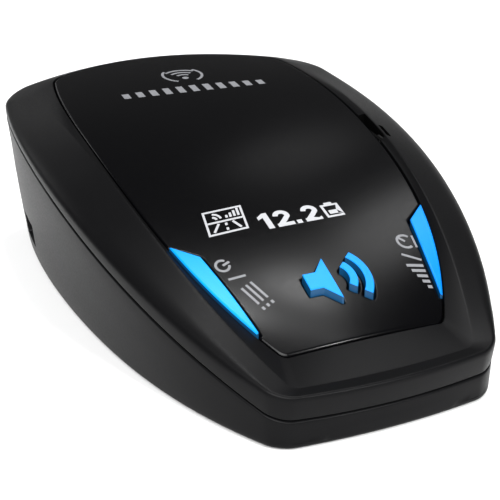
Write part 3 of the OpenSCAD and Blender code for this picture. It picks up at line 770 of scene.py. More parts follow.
# %% [markdown]
# ## Screw bosses, wells and beds
# Under the case lie four screw wells, each in a round boss that stands up inside. The near two
# are shallow and the far two deep, because the case is deeper there. The pad lies in a bed and
# stands a little below the base, so that the case rests on it. The rating plate has its own bed.

# %% Bosses, wells and beds
pad_low, pad_high = box_mm("grip_pad")
plate_low, plate_high = box_mm("rating_plate")
case_screw_places = [(sx * HALF_W * a, along(b), depth) for a, b, depth in
                     ((0.256, 0.126, 1.4), (0.795, 0.828, 8.0)) for sx in (-1, 1)]
pad_loop = Loop([w - 10 for w in base.half], [0] * 5, [along(0.215), along(0.755)], [-1, 3], [0, 0],
                [0.06, 0.16, 0.06, 0.12])
pad_plan = pad_loop.points()[:, :2]
BOSS_R, WELL_R, HOLE_R, BED_GAP = 3.0, 2.3, 1.25, 0.1
carve(case_lower, [solid("boss", post(x, y, BOSS_R, BASE_Z + 0.5, 6.0 if y < 0 else 13.4))
                   for x, y, _ in case_screw_places], "UNION")
carve(case_lower, [solid("well", post(x, y, WELL_R, BASE_Z - 1, BASE_Z + depth))
                   for x, y, depth in case_screw_places])
carve(case_lower, [solid("hole", post(x, y, HOLE_R, BASE_Z - 1, 30))
                   for x, y, _ in case_screw_places])
pad_bed = upright(pad_loop.inset(-BED_GAP).points()[:, :2], (-1, BASE_Z + 0.8))
plate_bed = block([plate_low[0] - BED_GAP, plate_low[1] - BED_GAP, -1],
                  [plate_high[0] + BED_GAP, plate_high[1] + BED_GAP, plate_high[2]])
carve(case_lower, [solid("pad_bed", pad_bed), solid("plate_bed", plate_bed)])
print("screws at", [(round(x, 1), round(y, 1)) for x, y, _ in case_screw_places])

# %% [markdown]
# ## The openings in the walls
# The power socket's opening flares outwards, as a plug's moulded grip needs. The laser receiver
# looks through a dark red window in the far wall, cut from the wall's own shape so that it
# follows the curve, with a hairline gap all round.

# %% Socket mouth and receiver window
socket_low, socket_high = box_mm("usb_shell")
socket_mid = (socket_low + socket_high) / 2
SOCKET_W, SOCKET_H = socket_high[1] - socket_low[1], socket_high[2] - socket_low[2]


def across_x(ring, x, centre):
    """A ring drawn in the plane of the left wall, at a place along X."""
    return np.column_stack([np.full(len(ring), x), centre[1] + ring[:, 0], centre[2] + ring[:, 1]])


mouth = rounded(SOCKET_W + 0.5, SOCKET_H + 0.5, 0.5)
wall_x = -float(parting.half_at(socket_mid[1]))
flare = [(socket_mid[0] + 8, 1.0), (wall_x + 2.6, 1.0), (wall_x - 0.6, 1.32), (wall_x - 3, 1.6)]
flared = [across_x(mouth * k, x, socket_mid) for x, k in flare]
carve(case_lower, [solid("socket_cut", flared[::-1])])
glass_low, glass_high = box_mm("front_window")
glass_box = [glass_low[0], along(0.93), glass_low[2]], [glass_high[0], along(1.03), glass_high[2]]
GLASS_GAP = 0.12
ir_window = solid("ir_window", lower_rows(), [ir_acrylic])
carve(ir_window, [solid("glass_box", block(*glass_box))], "INTERSECT")
carve(case_lower, [solid("glass_cut", block(*glass_box, GLASS_GAP))])
print("lower shell faces", len(case_lower.data.polygons))

# %% [markdown]
# ## The seal in the groove
# A thin band of black rubber sits between the shells, set back from the outside, and shows only
# as the dark line that parts them. It is a closed ring skinned over four loops.

# %% Seal
half_gap = SEAM / 2 - 0.06
SET_BACK = 0.8
corners = ((-half_gap, WALL), (-half_gap, SET_BACK), (half_gap, SET_BACK), (half_gap, WALL))
seal_rows = [parting.lifted(by).inset(depth).points() for by, depth in corners]
groove_seal = piece("groove_seal", *skin(seal_rows, closed=True), [seal_rubber])
print("seal faces", len(groove_seal.data.polygons))

# %% [markdown]
# ## The window and the keys
# The window is one plate of smoked acrylic, 2 mm thick, cut away at its two edges for the keys and
# pierced for the symbol. Its rim is rolled, which is what draws a thin line of light along the
# near end. The edge keys are cut from the same curve, so they finish flush with the window's
# outline and stand half a millimetre above its face.

# %% The window, and the outlines cut in it
TIP, INNER, FOOT = [(a * HALF_W, along(b))
                    for a, b in ((0.595, 0.292), (0.51, 0.2685), (0.422, 0.13))]


def key_outline(side, grow=0.0):
    """The plan of an edge key, left open past the window's edge."""
    belly = (INNER[0] * 0.5 + FOOT[0] * 0.5 - 0.1, INNER[1] * 0.5 + FOOT[1] * 0.5)
    ring = [(TIP[0] + 8, TIP[1] + grow + 6.4), (TIP[0], TIP[1] + grow),
            (INNER[0] - grow, INNER[1] + grow), (belly[0] - grow, belly[1]),
            (FOOT[0] - grow, FOOT[1] - grow), (FOOT[0] + 8, FOOT[1] - grow - 3.2)]
    return np.array([(side * x, y) for x, y in ring])[::side]


def arc(cx, cy, radius, start, stop, steps=16):
    a = np.radians(np.linspace(start, stop, steps + 1))
    return np.column_stack([cx + radius * np.cos(a), cy + radius * np.sin(a)])


def stroke(line, width):
    """The outline of a line drawn with a flat pen."""
    line = np.array(line, float)
    step = np.diff(line, axis=0)
    step /= np.linalg.norm(step, axis=1, keepdims=True)
    ahead, behind = np.vstack([step, step[-1:]]), np.vstack([step[:1], step])
    run = ahead + behind
    run /= np.linalg.norm(run, axis=1, keepdims=True)
    reach = width / 2 / np.clip((run * ahead).sum(axis=1), 0.5, 1)
    side = np.column_stack([-run[:, 1], run[:, 0]]) * reach[:, None]
    return np.concatenate([line - side, (line + side)[::-1]])


SYMBOL_Y = along(0.1795)


def symbol_shapes(grow=0.0):
    """A loudspeaker and two sound arcs, grown all round."""
    lower = [(-5.6 - grow, -1.6 - grow), (-3.3 - grow / 2, -1.6 - grow),
             (-0.9 + grow, -4.2 - 1.6 * grow)]
    horn = np.array(lower + [(x, -y) for x, y in lower[::-1]])
    waves = []
    for radius in (3.3, 5.9):
        spread = 42 + math.degrees(grow / radius)
        waves.append(stroke(arc(-0.6, 0, radius, -spread, spread, 24), 1.4 + 2 * grow))
    return [shape + [0, SYMBOL_Y] for shape in [horn, *waves]]


lens_plan = lens.points()[:, :2]
window = plate("window", [lens_plan], on_window(0), on_window(-LENS_T), [hard_acrylic],
               holes=[key_outline(1, KEY_GAP), key_outline(-1, KEY_GAP),
                      *symbol_shapes(KEY_GAP / 2)], lip=0.45, spacing=1.2)
print("window faces", len(window.data.polygons))

# %% [markdown]
# ## The keys
# Each key is a translucent cap over a lamp, so it takes the lit finish on its face and a deep
# blue painted shade on its walls. The edge keys end a little above the deck, to leave room for
# their travel.

# %% Keys
key_blue_left = lit("key_blue_left", (-18.5, -37, 18), "#008cdc", "#007cd4", 18, 0.42, 0.35)
key_blue_right = lit("key_blue_right", (19.5, -29, 22), "#0074d8", "#006ccc", 16, 0.42, 0.35)
symbol_blue = lit("symbol_blue", (-2, SYMBOL_Y, 15), "#0080d8", "#0076ce", 8, 0.46, 0.35)
KEY_THICK = LENS_T - TRAVEL - 0.1
edge_keys = {}
for side, name, glow in ((-1, "power_key", key_blue_left), (1, "volume_key", key_blue_right)):
    edge_keys[name] = plate(name + "_lit", [key_outline(side)], on_window(KEY_PROUD),
                            on_window(-KEY_THICK), [glow, key_shade_blue], within=[lens_plan],
                            lip=0.28, spacing=0.8, side_zone=1)
symbol_key = plate("symbol_key_lit", symbol_shapes(), on_window(SYMBOL_PROUD),
                   on_window(-LENS_T - 0.4), [symbol_blue, key_shade_blue], lip=0.16, spacing=0.7,
                   side_zone=1)
# The symbol key's base is all in the deep blue painted shade.
symbol_base = plate("symbol_key_base", [rounded(12.6, 10.4, 0.6) + [0, SYMBOL_Y]],
                    on_window(-LENS_T - 0.2), on_window(-LENS_T - 1.4), [key_shade_blue], spacing=1.0)
print("keys", [(k, len(o.data.polygons)) for k, o in edge_keys.items()])

# %% [markdown]
# ## Readout and printed marks
# A small light-emitting display shows through the window: plain numerals with a battery sign, and
# a boxed sign of two rows for reception and road. The rest is screen ink: a signal-wave badge with
# a row of level bars near the far end, and function signs beside the keys. The real marks are a
# maker's, so these are plain signs of the same size. Each mark is a film of real geometry, a few
# hundredths of a millimetre proud, that follows the window's curve.

# %% Signs
def placed(shapes, origin, turn, scale=1.0):
    """Shapes turned by degrees, scaled and moved to an origin on the window."""
    a = math.radians(turn)
    matrix = np.array([[math.cos(a), math.sin(a)], [-math.sin(a), math.cos(a)]]) * scale
    return [np.array(shape) @ matrix + origin for shape in shapes]


def numeral_one(x):
    outline = [(1.0, 0), (2.1, 0), (2.1, 4.7), (1.25, 4.7), (0, 3.75), (0, 2.9), (1.0, 3.45)]
    return [np.array(outline) + [x, 0]]


def numeral_two(x):
    bow = np.vstack([arc(x + 1.65, 3.1, 1.1, 175, -18, 14), [(x + 1.9, 1.85), (x + 0.62, 0.55)]])
    return [stroke(bow, 0.98), stroke([(x, 0.46), (x + 3.3, 0.46)], 0.92)]


def box_lines(left, low, right, high, wide, hair=0.03):
    """Four bars round a box, a hair apart so that no two share an edge."""
    half = wide / 2
    flat = [stroke([(left, y), (right, y)], wide) for y in (low + half, high - half)]
    ends = low + wide + hair, high - wide - hair
    return flat + [stroke([(x, ends[0]), (x, ends[1])], wide) for x in (left + half, right - half)]


def battery(x):
    """An upright cell with its pole on top, a third full."""
    pole = stroke([(x + 1.0, 4.2), (x + 2.6, 4.2)], 0.5)
    charge = stroke([(x + 0.95, 1.5), (x + 2.65, 1.5)], 1.1)
    return box_lines(x, 0, x + 3.6, 3.9, 0.5) + [pole, charge]


dot = [stroke([(6.7, 0.5), (7.7, 0.5)], 1.0)]
figures = numeral_one(0.0) + numeral_two(2.9) + dot + numeral_two(8.5) + battery(12.7)
figures = [shape * [0.97, 0.86] for shape in figures]
readout_shapes = placed(figures, (-6.8, -22.7), 1.4)


def boxed_sign():
    """Two framed rows: reception waves above, a road with a dashed middle line below."""
    rows = box_lines(0, 0, 7.4, 6.1, 0.4) + [stroke([(0.43, 3.05), (6.97, 3.05)], 0.4)]
    rows += [stroke(arc(1.5, 3.6, r, 8, 82, 8), 0.42) for r in (0.8, 1.6)]
    rows += [stroke([(4.2 + 0.75 * i, 3.7), (4.2 + 0.75 * i, 4.35 + 0.42 * i)], 0.45)
             for i in range(4)]
    rows += [stroke([(1.2, 0.7), (2.4, 2.6)], 0.45), stroke([(6.2, 0.7), (5.0, 2.6)], 0.45)]
    rows += [stroke([(3.7, y), (3.7, y + 0.6)], 0.45) for y in (0.7, 1.9)]
    return rows


box_shapes = placed(boxed_sign(), (-16.7, -22.1), 4.0)
box_shapes = [np.column_stack([s[:, 0] + (s[:, 1] + 22.1) * 0.22, s[:, 1]]) for s in box_shapes]


# %% Printed signs
def badge():
    """Three sound-like waves over a dot, in a broken ring."""
    waves = [stroke(arc(0, -1.9, r, 50, 130, 14), 0.62) for r in (2.0, 3.5, 5.0)]
    broken = [stroke(arc(0, 0, 4.4, a, b, 20), 0.6) for a, b in ((-60, 42), (138, 240))]
    return waves + [disc(0, -2.1, 0.72, 20)] + broken


def level_bars(count=11, wide=30.6, tall=3.6):
    """A row of upright bars that grow towards the middle, as on a signal meter."""
    rows = []
    for i in range(count):
        x = -wide / 2 + wide * i / (count - 1)
        rise = tall * (0.7 + 0.3 * math.cos(math.pi * x / wide))
        rows.append(stroke([(x, 0), (x, rise)], 1.5))
    return rows


def power_and_list():
    """On and off, a slash, then a list of three lines."""
    power = [stroke(arc(1.1, 1.0, 0.95, 120, 420, 20), 0.36),
             stroke([(1.1, 1.05), (1.1, 2.25)], 0.36)]
    slash = [stroke([(3.3, -0.1), (4.2, 2.3)], 0.34)]
    lines = [stroke([(5.4, y), (8.6, y)], 0.36) for y in (0.25, 1.1, 1.95)]
    dots = [stroke([(9.2, y), (9.7, y)], 0.4) for y in (0.25, 1.1, 1.95)]
    return power + slash + lines + dots


def level_and_dial():
    """Rising level bars, a slash, then a dial with its pointer."""
    bars = [stroke([(0.3 + 0.8 * i, 0), (0.3 + 0.8 * i, 0.6 + 0.42 * i)], 0.42) for i in range(5)]
    slash = [stroke([(4.4, -0.1), (5.3, 2.3)], 0.34)]
    dial = [stroke(arc(7.5, 1.0, 1.05, -40, 220, 20), 0.36),
            stroke([(7.5, 1.0), (8.25, 1.85)], 0.34)]
    return bars + slash + dial + [stroke([(6.5, -0.25), (8.5, -0.25)], 0.3)]


ink_shapes = placed(badge(), (1.0, 40.2), 0, 1.0) + placed(level_bars(), (0.6, 29.6), 0)
ink_shapes += placed(power_and_list(), (-18.6, -28.0), -67, 1.2)
ink_shapes += placed(level_and_dial(), (15.9, -40.9), 80, 1.35)
readout_light = lit("readout_light", (0, -20, 26), "#a3a4a7", "#999a9d", 20, 0.3, 0.4)
readout = plate("readout", readout_shapes + box_shapes, on_window(0.03), on_window(-0.05),
                [readout_light], spacing=2.0)
window_marks = plate("window_marks", ink_shapes, on_window(0.025), on_window(-0.05),
                     [screen_ink], spacing=2.0)
print("readout and marks", len(readout.data.polygons), len(window_marks.data.polygons))

# %% [markdown]
# ## Cloth in the sound slot
# The slot beside the window lets the sound out, and a woven cloth below it keeps dust away. A
# weave repeats, so Geometry Nodes make it: one bent wire, copied along a line, then the same again
# at right angles with the bends shifted by one step. The tree takes the pitch and the sizes as
# inputs and ends in real geometry.

# %% Geometry Nodes helpers
def tree_for(name, inputs):
    """A new Geometry Nodes tree with those inputs, and its input and output nodes."""
    tree = bpy.data.node_groups.new(name, "GeometryNodeTree")
    tree.interface.new_socket("Geometry", in_out="INPUT", socket_type="NodeSocketGeometry")
    for label, kind in inputs.items():
        tree.interface.new_socket(label, in_out="INPUT", socket_type="NodeSocket" + kind)
    tree.interface.new_socket("Geometry", in_out="OUTPUT", socket_type="NodeSocketGeometry")
    return tree, add(tree, "NodeGroupInput"), add(tree, "NodeGroupOutput")


def grown(name, tree, values, points, sharp=35.0):
    """Runs a tree on a mesh of loose points, in millimetres, and keeps the result as a mesh."""
    mesh = bpy.data.meshes.new(name)
    mesh.from_pydata([[v * MM for v in p] for p in points], [], [])
    obj = in_scene(name, mesh)
    grow = obj.modifiers.new("grow", "NODES")
    grow.node_group = tree
    for item in tree.interface.items_tree:
        if item.in_out == "INPUT" and item.name in values:
            grow[item.identifier] = values[item.name]
    return settled(obj, sharp)


def finish_tree(tree, end, geometry, material):
    """Ends a tree in plain geometry with its material."""
    real = add(tree, "GeometryNodeRealizeInstances", {"Geometry": geometry})
    dressed = add(tree, "GeometryNodeSetMaterial",
                  {"Geometry": real.outputs[0], "Material": material})
    tree.links.new(dressed.outputs[0], end.inputs[0])


# %% One family of wires
def family(tree, given, wide, long, turn, shift):
    """One set of parallel bent wires, as instances on a line."""
    pitch = given.outputs["Pitch"]
    count = add(tree, "ShaderNodeMath", {0: given.outputs[wide], 1: pitch}, operation="DIVIDE")
    whole = add(tree, "ShaderNodeMath", {0: count.outputs[0]}, operation="FLOOR")
    fence = add(tree, "ShaderNodeMath", {0: whole.outputs[0], 1: 1.0}, operation="ADD")
    bends = add(tree, "ShaderNodeMath", {0: given.outputs[long], 1: pitch}, operation="DIVIDE")
    fine = add(tree, "ShaderNodeMath", {0: bends.outputs[0], 1: 4.0}, operation="MULTIPLY")
    half = add(tree, "ShaderNodeMath", {0: given.outputs[long], 1: 0.5}, operation="MULTIPLY")
    back = add(tree, "ShaderNodeMath", {0: given.outputs[long], 1: -0.5}, operation="MULTIPLY")
    start = add(tree, "ShaderNodeCombineXYZ", {"Y": back.outputs[0]})
    stop = add(tree, "ShaderNodeCombineXYZ", {"Y": half.outputs[0]})
    line = add(tree, "GeometryNodeCurvePrimitiveLine",
               {"Start": start.outputs[0], "End": stop.outputs[0]})
    steps = add(tree, "GeometryNodeResampleCurve",
                {"Curve": line.outputs[0], "Count": fine.outputs[0]})
    here = add(tree, "GeometryNodeInputPosition")
    parts = add(tree, "ShaderNodeSeparateXYZ", {0: here.outputs[0]})
    phase = add(tree, "ShaderNodeMath", {0: parts.outputs["Y"], 1: pitch}, operation="DIVIDE")
    angle = add(tree, "ShaderNodeMath", {0: phase.outputs[0], 1: math.pi, 2: shift},
                operation="MULTIPLY_ADD")
    wave = add(tree, "ShaderNodeMath", {0: angle.outputs[0]}, operation="SINE")
    rise = add(tree, "ShaderNodeMath", {0: wave.outputs[0], 1: given.outputs["Wire"]},
               operation="MULTIPLY")
    lift = add(tree, "ShaderNodeCombineXYZ", {"Z": rise.outputs[0]})
    bent = add(tree, "GeometryNodeSetPosition",
               {"Geometry": steps.outputs[0], "Offset": lift.outputs[0]})
    ring = add(tree, "GeometryNodeCurvePrimitiveCircle",
               {"Resolution": 6, "Radius": given.outputs["Wire"]})
    wire = add(tree, "GeometryNodeCurveToMesh",
               {"Curve": bent.outputs[0], "Profile Curve": ring.outputs[0], "Fill Caps": True})
    span = add(tree, "ShaderNodeMath", {0: given.outputs[wide], 1: -0.5}, operation="MULTIPLY")
    first = add(tree, "ShaderNodeCombineXYZ", {"X": span.outputs[0]})
    gap = add(tree, "ShaderNodeCombineXYZ", {"X": pitch})
    row = add(tree, "GeometryNodeMeshLine",
              {"Count": fence.outputs[0], "Start Location": first.outputs[0],
               "Offset": gap.outputs[0]})
    many = add(tree, "GeometryNodeInstanceOnPoints",
               {"Points": row.outputs[0], "Instance": wire.outputs[0]})
    return add(tree, "GeometryNodeTransform",
               {"Geometry": many.outputs[0], "Rotation": (0, 0, turn)}).outputs[0]


# %% Weave the cloth
# A real dust cloth's threads lie closer than this, which would be too fine to show.
CLOTH_PITCH, CLOTH_WIRE, CLOTH_LONG, CLOTH_RISE = 0.6, 0.16, 9.9, 0.7
weave, given, end = tree_for("weave", {"Pitch": "Float", "Wire": "Float", "Across": "Float",
                                       "Along": "Float", "Lean": "Float"})
both = add(weave, "GeometryNodeJoinGeometry")
weave.links.new(family(weave, given, "Across", "Along", 0.0, 0.0), both.inputs[0])
weave.links.new(family(weave, given, "Along", "Across", math.pi / 2, math.pi / 2), both.inputs[0])
lean = add(weave, "ShaderNodeCombineXYZ", {"Z": given.outputs["Lean"]})
turned_cloth = add(weave, "GeometryNodeTransform",
                   {"Geometry": both.outputs[0], "Rotation": lean.outputs[0]})
cloth_at = add(weave, "GeometryNodeInstanceOnPoints",
               {"Points": given.outputs["Geometry"], "Instance": turned_cloth.outputs[0]})
finish_tree(weave, end, cloth_at.outputs[0], cloth_black)
cloth_wide = -0.2 - slot_in - 0.4
cloth_middle = slot_place((slot_in - 0.2) / 2, 0)
sound_cloth = grown("sound_cloth", weave,
                    {"Pitch": CLOTH_PITCH * MM, "Wire": CLOTH_WIRE * MM, "Lean": slot_lean,
                     "Across": cloth_wide * MM, "Along": CLOTH_LONG * MM},
                    [[*cloth_middle, slot_floor + CLOTH_RISE]])
print("cloth faces", len(sound_cloth.data.polygons))

# %% [markdown]
# ## Grip pad
# The pad under the case is moulded silicone with a field of small flat-topped studs, which grip a
# dashboard. The plate function makes its sheet, and Geometry Nodes stand a stud on every point of
# a grid that lies inside the pad's outline.

# %% Pad and its studs
STUD_PITCH, STUD_R, STUD_H = 3.0, 0.95, 0.28
sheet_z = STUD_H - 0.03
pad_sheet = plate("grip_pad_sheet", [pad_plan], level(-sheet_z), level(-pad_high[2]),
                  [pad_rubber], lip=0.12, spacing=2.5, face_down=True)
studs, given, end = tree_for("studs", {"Radius": "Float", "Height": "Float"})
half_high = add(studs, "ShaderNodeMath", {0: given.outputs["Height"], 1: 0.5}, operation="MULTIPLY")
up = add(studs, "ShaderNodeCombineXYZ", {"Z": half_high.outputs[0]})
wide_foot = add(studs, "ShaderNodeMath", {0: given.outputs["Radius"], 1: 1.25},
                operation="MULTIPLY")
stud = add(studs, "GeometryNodeMeshCone",
           {"Vertices": 10, "Radius Top": wide_foot.outputs[0],
            "Radius Bottom": given.outputs["Radius"], "Depth": given.outputs["Height"]})
field = add(studs, "GeometryNodeInstanceOnPoints",
            {"Points": given.outputs["Geometry"], "Instance": stud.outputs[0]})
finish_tree(studs, end, field.outputs[0], pad_rubber)
rows_of_studs = np.arange(-48, 48.1, STUD_PITCH * 0.866)  # rows of a triangular grid
cells = np.stack(np.meshgrid(np.arange(-45, 45.1, STUD_PITCH), rows_of_studs), -1)
cells[1::2, :, 0] += STUD_PITCH / 2
cells = cells.reshape(-1, 2)
cells = cells[kept(cells, [pad_plan], [], [])]
cells = cells[distance(cells, pad_plan, np.roll(pad_plan, -1, axis=0))[0] > STUD_R * 1.5]
grip_studs = grown("grip_pad_studs", studs, {"Radius": STUD_R * MM, "Height": STUD_H * MM},
                   [[x, y, 0.0] for x, y in cells])
print("studs", len(cells))

# %% [markdown]
# ## Rating plate
# A small foil plate lies in a bed under the case. On the real thing it carries print that this
# one leaves out: it has an embossed border and four blank fields.

# %% Plate
px, py = (plate_low[0] + plate_high[0]) / 2, (plate_low[1] + plate_high[1]) / 2
foil_z = plate_low[2] + 0.06
foil = plate("rating_foil", [rounded(29.8, 11.8, 1.0) + [px, py]], level(-foil_z),
             level(-plate_high[2]), [foil_plate], lip=0.05, spacing=3.0, face_down=True)
frame_ring = rounded(27.6, 9.6, 0.8) + [px, py]
fields = [rounded(11.5, 3.2, 0.4) + [px + sx * 6.6, py + sy * 2.2]
          for sx in (-1, 1) for sy in (-1, 1)]
emboss = plate("rating_foil_border", [frame_ring], level(-plate_low[2]), level(-foil_z - 0.02),
               [foil_plate], holes=fields, lip=0.04, spacing=3.0, face_down=True)
print("plate in mm", np.round(plate_high - plate_low, 2))

# %% [markdown]
# ## Screws
# Four cross-head screws close the case from below. They are the same screw four times, so one head
# and one shank are turned as profiles, the cross is cut once, and Geometry Nodes put a copy at each
# place with a random turn, because no one lines up screw slots.

# %% Screws
def lathe(name, profile, materials, steps=32):
    """A turned shape from radius and height pairs, up the Z axis."""
    a = np.arange(steps) * 2 * math.pi / steps
    loops = [np.column_stack([r * np.cos(a), r * np.sin(a), np.full(steps, z)]) for r, z in profile]
    return solid(name, loops, materials, sharp=30.0)


HEAD_PROFILE = [(1.6, 0.0), (1.85, 0.06), (2.0, 0.3), (2.0, 0.95), (1.9, 1.2), (1.0, 1.22)]
THREAD = [(0.88, 1.15)] + [(0.88 if i % 2 else 0.7, 1.2 + 0.35 * i) for i in range(14)]
head = lathe("screw_head", HEAD_PROFILE, [zinc_steel])
cross = [solid("bit", block([-wide / 2, -long / 2, -0.5], [wide / 2, long / 2, 0.62]))
         for wide, long in ((0.55, 2.3), (2.3, 0.55))]
carve(head, cross, sharp=30.0)
shank = lathe("screw_shank", THREAD, [zinc_steel])

# %% Put a screw at each place
driving, given, end = tree_for("driving", {"Head": "Object", "Shank": "Object", "Seed": "Int"})
parts = [add(driving, "GeometryNodeObjectInfo", {"Object": given.outputs[label]})
         for label in ("Head", "Shank")]
whole = add(driving, "GeometryNodeJoinGeometry")
for part in parts:
    driving.links.new(part.outputs["Geometry"], whole.inputs[0])
spin = add(driving, "FunctionNodeRandomValue", {3: math.pi, "Seed": given.outputs["Seed"]},
           data_type="FLOAT")
about = add(driving, "ShaderNodeCombineXYZ", {"Z": spin.outputs[1]})
driven = add(driving, "GeometryNodeInstanceOnPoints",
             {"Points": given.outputs["Geometry"], "Instance": whole.outputs[0],
              "Rotation": about.outputs[0]})
finish_tree(driving, end, driven.outputs[0], zinc_steel)
screws = grown("case_screws_turned", driving, {"Head": head, "Shank": shank, "Seed": 4},
               [[x, y, BASE_Z + depth - 1.2] for x, y, depth in case_screw_places], sharp=30.0)
for pattern in (head, shank):
    bpy.data.objects.remove(pattern)
print("screw faces", len(screws.data.polygons))

# %% [markdown]
# ## Power socket
# The socket in the left wall is a folded steel shell with a flared mouth, round a nylon tongue that
# carries five gilt contacts. The shell is skinned over rounded rectangles from its outside, over
# the mouth and back down its inside, and the contacts repeat along a line.

# %% Socket
mouth_x, back_x = socket_low[0], socket_high[0]
OUT_W, OUT_H = SOCKET_W - 0.02, SOCKET_H - 0.02
# Places along X with the ring's growth there: the outside, the rolled mouth, then the inside.
folded = ((back_x, 0.0), (mouth_x + 0.5, 0.0), (mouth_x + 0.12, 0.0), (mouth_x, -0.12),
          (mouth_x, -0.3), (mouth_x + 0.25, -0.62), (mouth_x + 0.6, -0.7), (back_x - 0.5, -0.7))
shell_rows = [across_x(rounded(OUT_W + grow, OUT_H + grow, 0.7 + grow / 2), x, socket_mid)
              for x, grow in folded]
socket_shell = solid("socket_shell", shell_rows[::-1], [zinc_steel])
tongue_low, tongue_high = box_mm("usb_tongue")
tongue_mid = (tongue_low + tongue_high) / 2
TONGUE_W, TONGUE_H = tongue_high[1] - tongue_low[1], tongue_high[2] - tongue_low[2]
tip_x = tongue_low[0]
eased = ((tip_x, -0.3), (tip_x + 0.2, -0.05), (tip_x + 0.5, 0.0), (tongue_high[0], 0.0))
tongue_rows = [across_x(rounded(TONGUE_W + grow, TONGUE_H + grow, 0.15), x, tongue_mid)
               for x, grow in eased]
socket_tongue = solid("socket_tongue", tongue_rows, [black_nylon])
print("socket", np.round(socket_low, 2), np.round(socket_high, 2))

# %% Contacts
pins, given, end = tree_for("pins", {"Count": "Int", "Pitch": "Float"})
gap = add(pins, "ShaderNodeCombineXYZ", {"Y": given.outputs["Pitch"]})
pin = add(pins, "GeometryNodeMeshCube", {"Size": (3.4 * MM, 0.42 * MM, 0.08 * MM), "Vertices X": 3})
row = add(pins, "GeometryNodeMeshLine", {"Count": given.outputs["Count"], "Offset": gap.outputs[0]})
row_of_pins = add(pins, "GeometryNodeInstanceOnPoints",
                  {"Points": row.outputs[0], "Instance": pin.outputs[0]})
set_down = add(pins, "GeometryNodeInstanceOnPoints",
               {"Points": given.outputs["Geometry"], "Instance": row_of_pins.outputs[0]})
finish_tree(pins, end, set_down.outputs[0], contact_gold)
pin_pitch = TONGUE_W / 5.6
contacts = grown("socket_contacts", pins, {"Count": 5, "Pitch": pin_pitch * MM},
                 [[tongue_low[0] + 2.3, tongue_mid[1] - 2 * pin_pitch, tongue_low[2] - 0.02]])
print("contact faces", len(contacts.data.polygons))

# %% [markdown]
# ## Everything inside
# The electronics never show while the case is closed, but they are part of the object, so each
# keeps its solid shape and gets the finish of its real stuff: fibreglass board under green resist,
# tin plate, ceramic, pulp paper, ferrite, brass. One table holds them, and the grain column is
# the real size of each one's texture.

# %% Finishes inside
METAL = {"Metallic": 1.0}
INSIDE = [
    ("display_module", "display_glass", "#0a0c0f", "#11151a", (0.08, 0.14), 0.8, 0.001,
     {"IOR": 1.52}),
    ("display_gasket", "foam_gasket", "#17171a", "#232327", (0.85, 0.95), 0.5, 0.05, {}),
    ("display_flex", "amber_film", "#8a5a17", "#a8701f", (0.3, 0.4), 0.5, 0.003, {}),
    ("horn_antenna", "cast_zinc", "#8b8d90", "#a2a4a7", (0.42, 0.55), 0.3, 0.01, METAL),
    ("mixer_shield", "tin_plate", "#a8abad", "#c0c3c5", (0.28, 0.4), 0.4, 0.003, METAL),
    ("laser_sensor", "sensor_epoxy", "#0e0e10", "#17171a", (0.3, 0.4), 0.4, 0.004, {}),
    ("laser_lens", "clear_lens", "#3d3f45", "#50535a", (0.05, 0.1), 0.8, 0.0005, {"IOR": 1.49}),
    ("gps_antenna", "patch_ceramic", "#b0a184", "#c6b899", (0.4, 0.5), 0.15, 0.004, {}),
    ("speaker_frame", "stamped_steel", "#74777b", "#8a8d91", (0.35, 0.45), 0.3, 0.004, METAL),
    ("speaker_cone", "pulp_paper", "#2c2926", "#3a3632", (0.85, 0.95), 0.12, 0.03, {}),
    ("speaker_magnet", "nickel_magnet", "#8f9294", "#a9acae", (0.25, 0.35), 0.3, 0.002, METAL),
    ("main_board", "green_resist", "#0c3a24", "#155033", (0.28, 0.4), 0.25, 0.008, {}),
    ("board_screws", "brass", "#b08d3f", "#c9a554", (0.28, 0.38), 0.2, 0.002, METAL),
    ("processor", "mould_compound", "#121315", "#1c1d20", (0.55, 0.65), 0.12, 0.006, {}),
    ("chips", "mould_compound_small", "#17181b", "#222327", (0.55, 0.65), 0.12, 0.006, {}),
    ("capacitors", "drawn_aluminium", "#aeb1b5", "#c4c7ca", (0.25, 0.35), 0.3, 0.002, METAL),
    ("power_coil", "ferrite", "#26272a", "#333438", (0.6, 0.75), 0.15, 0.01, {}),
    ("backup_cell", "cell_steel", "#a9acb0", "#bec1c4", (0.22, 0.32), 0.3, 0.001, METAL),
    ("cell_holder", "phosphor_bronze", "#9c7b45", "#b58f55", (0.3, 0.4), 0.3, 0.002, METAL),
    ("switch_bodies", "switch_nylon", "#121214", "#1b1b1e", (0.45, 0.55), 0.2, 0.004, {}),
    ("key_leds", "led_resin", "#b8c6cf", "#d4e2ea", (0.1, 0.2), 0.5, 0.001, {"IOR": 1.53}),
    ("sound_mesh", "dust_cloth", "#060607", "#0d0d0e", (0.8, 0.9), 0.15, 0.02, {}),
]
made = {node: surface(*finish, **extra) for node, *finish, extra in INSIDE}
white_key = surface("white_acetal", "#c9cdd0", "#dde0e2", (0.35, 0.45), 0.3, 0.004)
cream_key = surface("cream_acetal", "#cfc8b8", "#e2dccd", (0.35, 0.45), 0.3, 0.004)
for key in ("power", "volume", "mute"):
    made[key + "_key_post"], made[key + "_switch_stem"] = white_key, cream_key
for node, finish in made.items():
    slots = frame["nodes"][node].data.materials
    slots.clear()
    slots.append(finish)
print("finishes", len(bpy.data.materials))

# %% [markdown]
# ## Which body each piece moves with
# The two shells and all that is screwed to them are the case. Each key is its own body, and slides
# down by its travel when pressed. Each piece names the solid it stands for and the material slot
# that its finish belongs to.

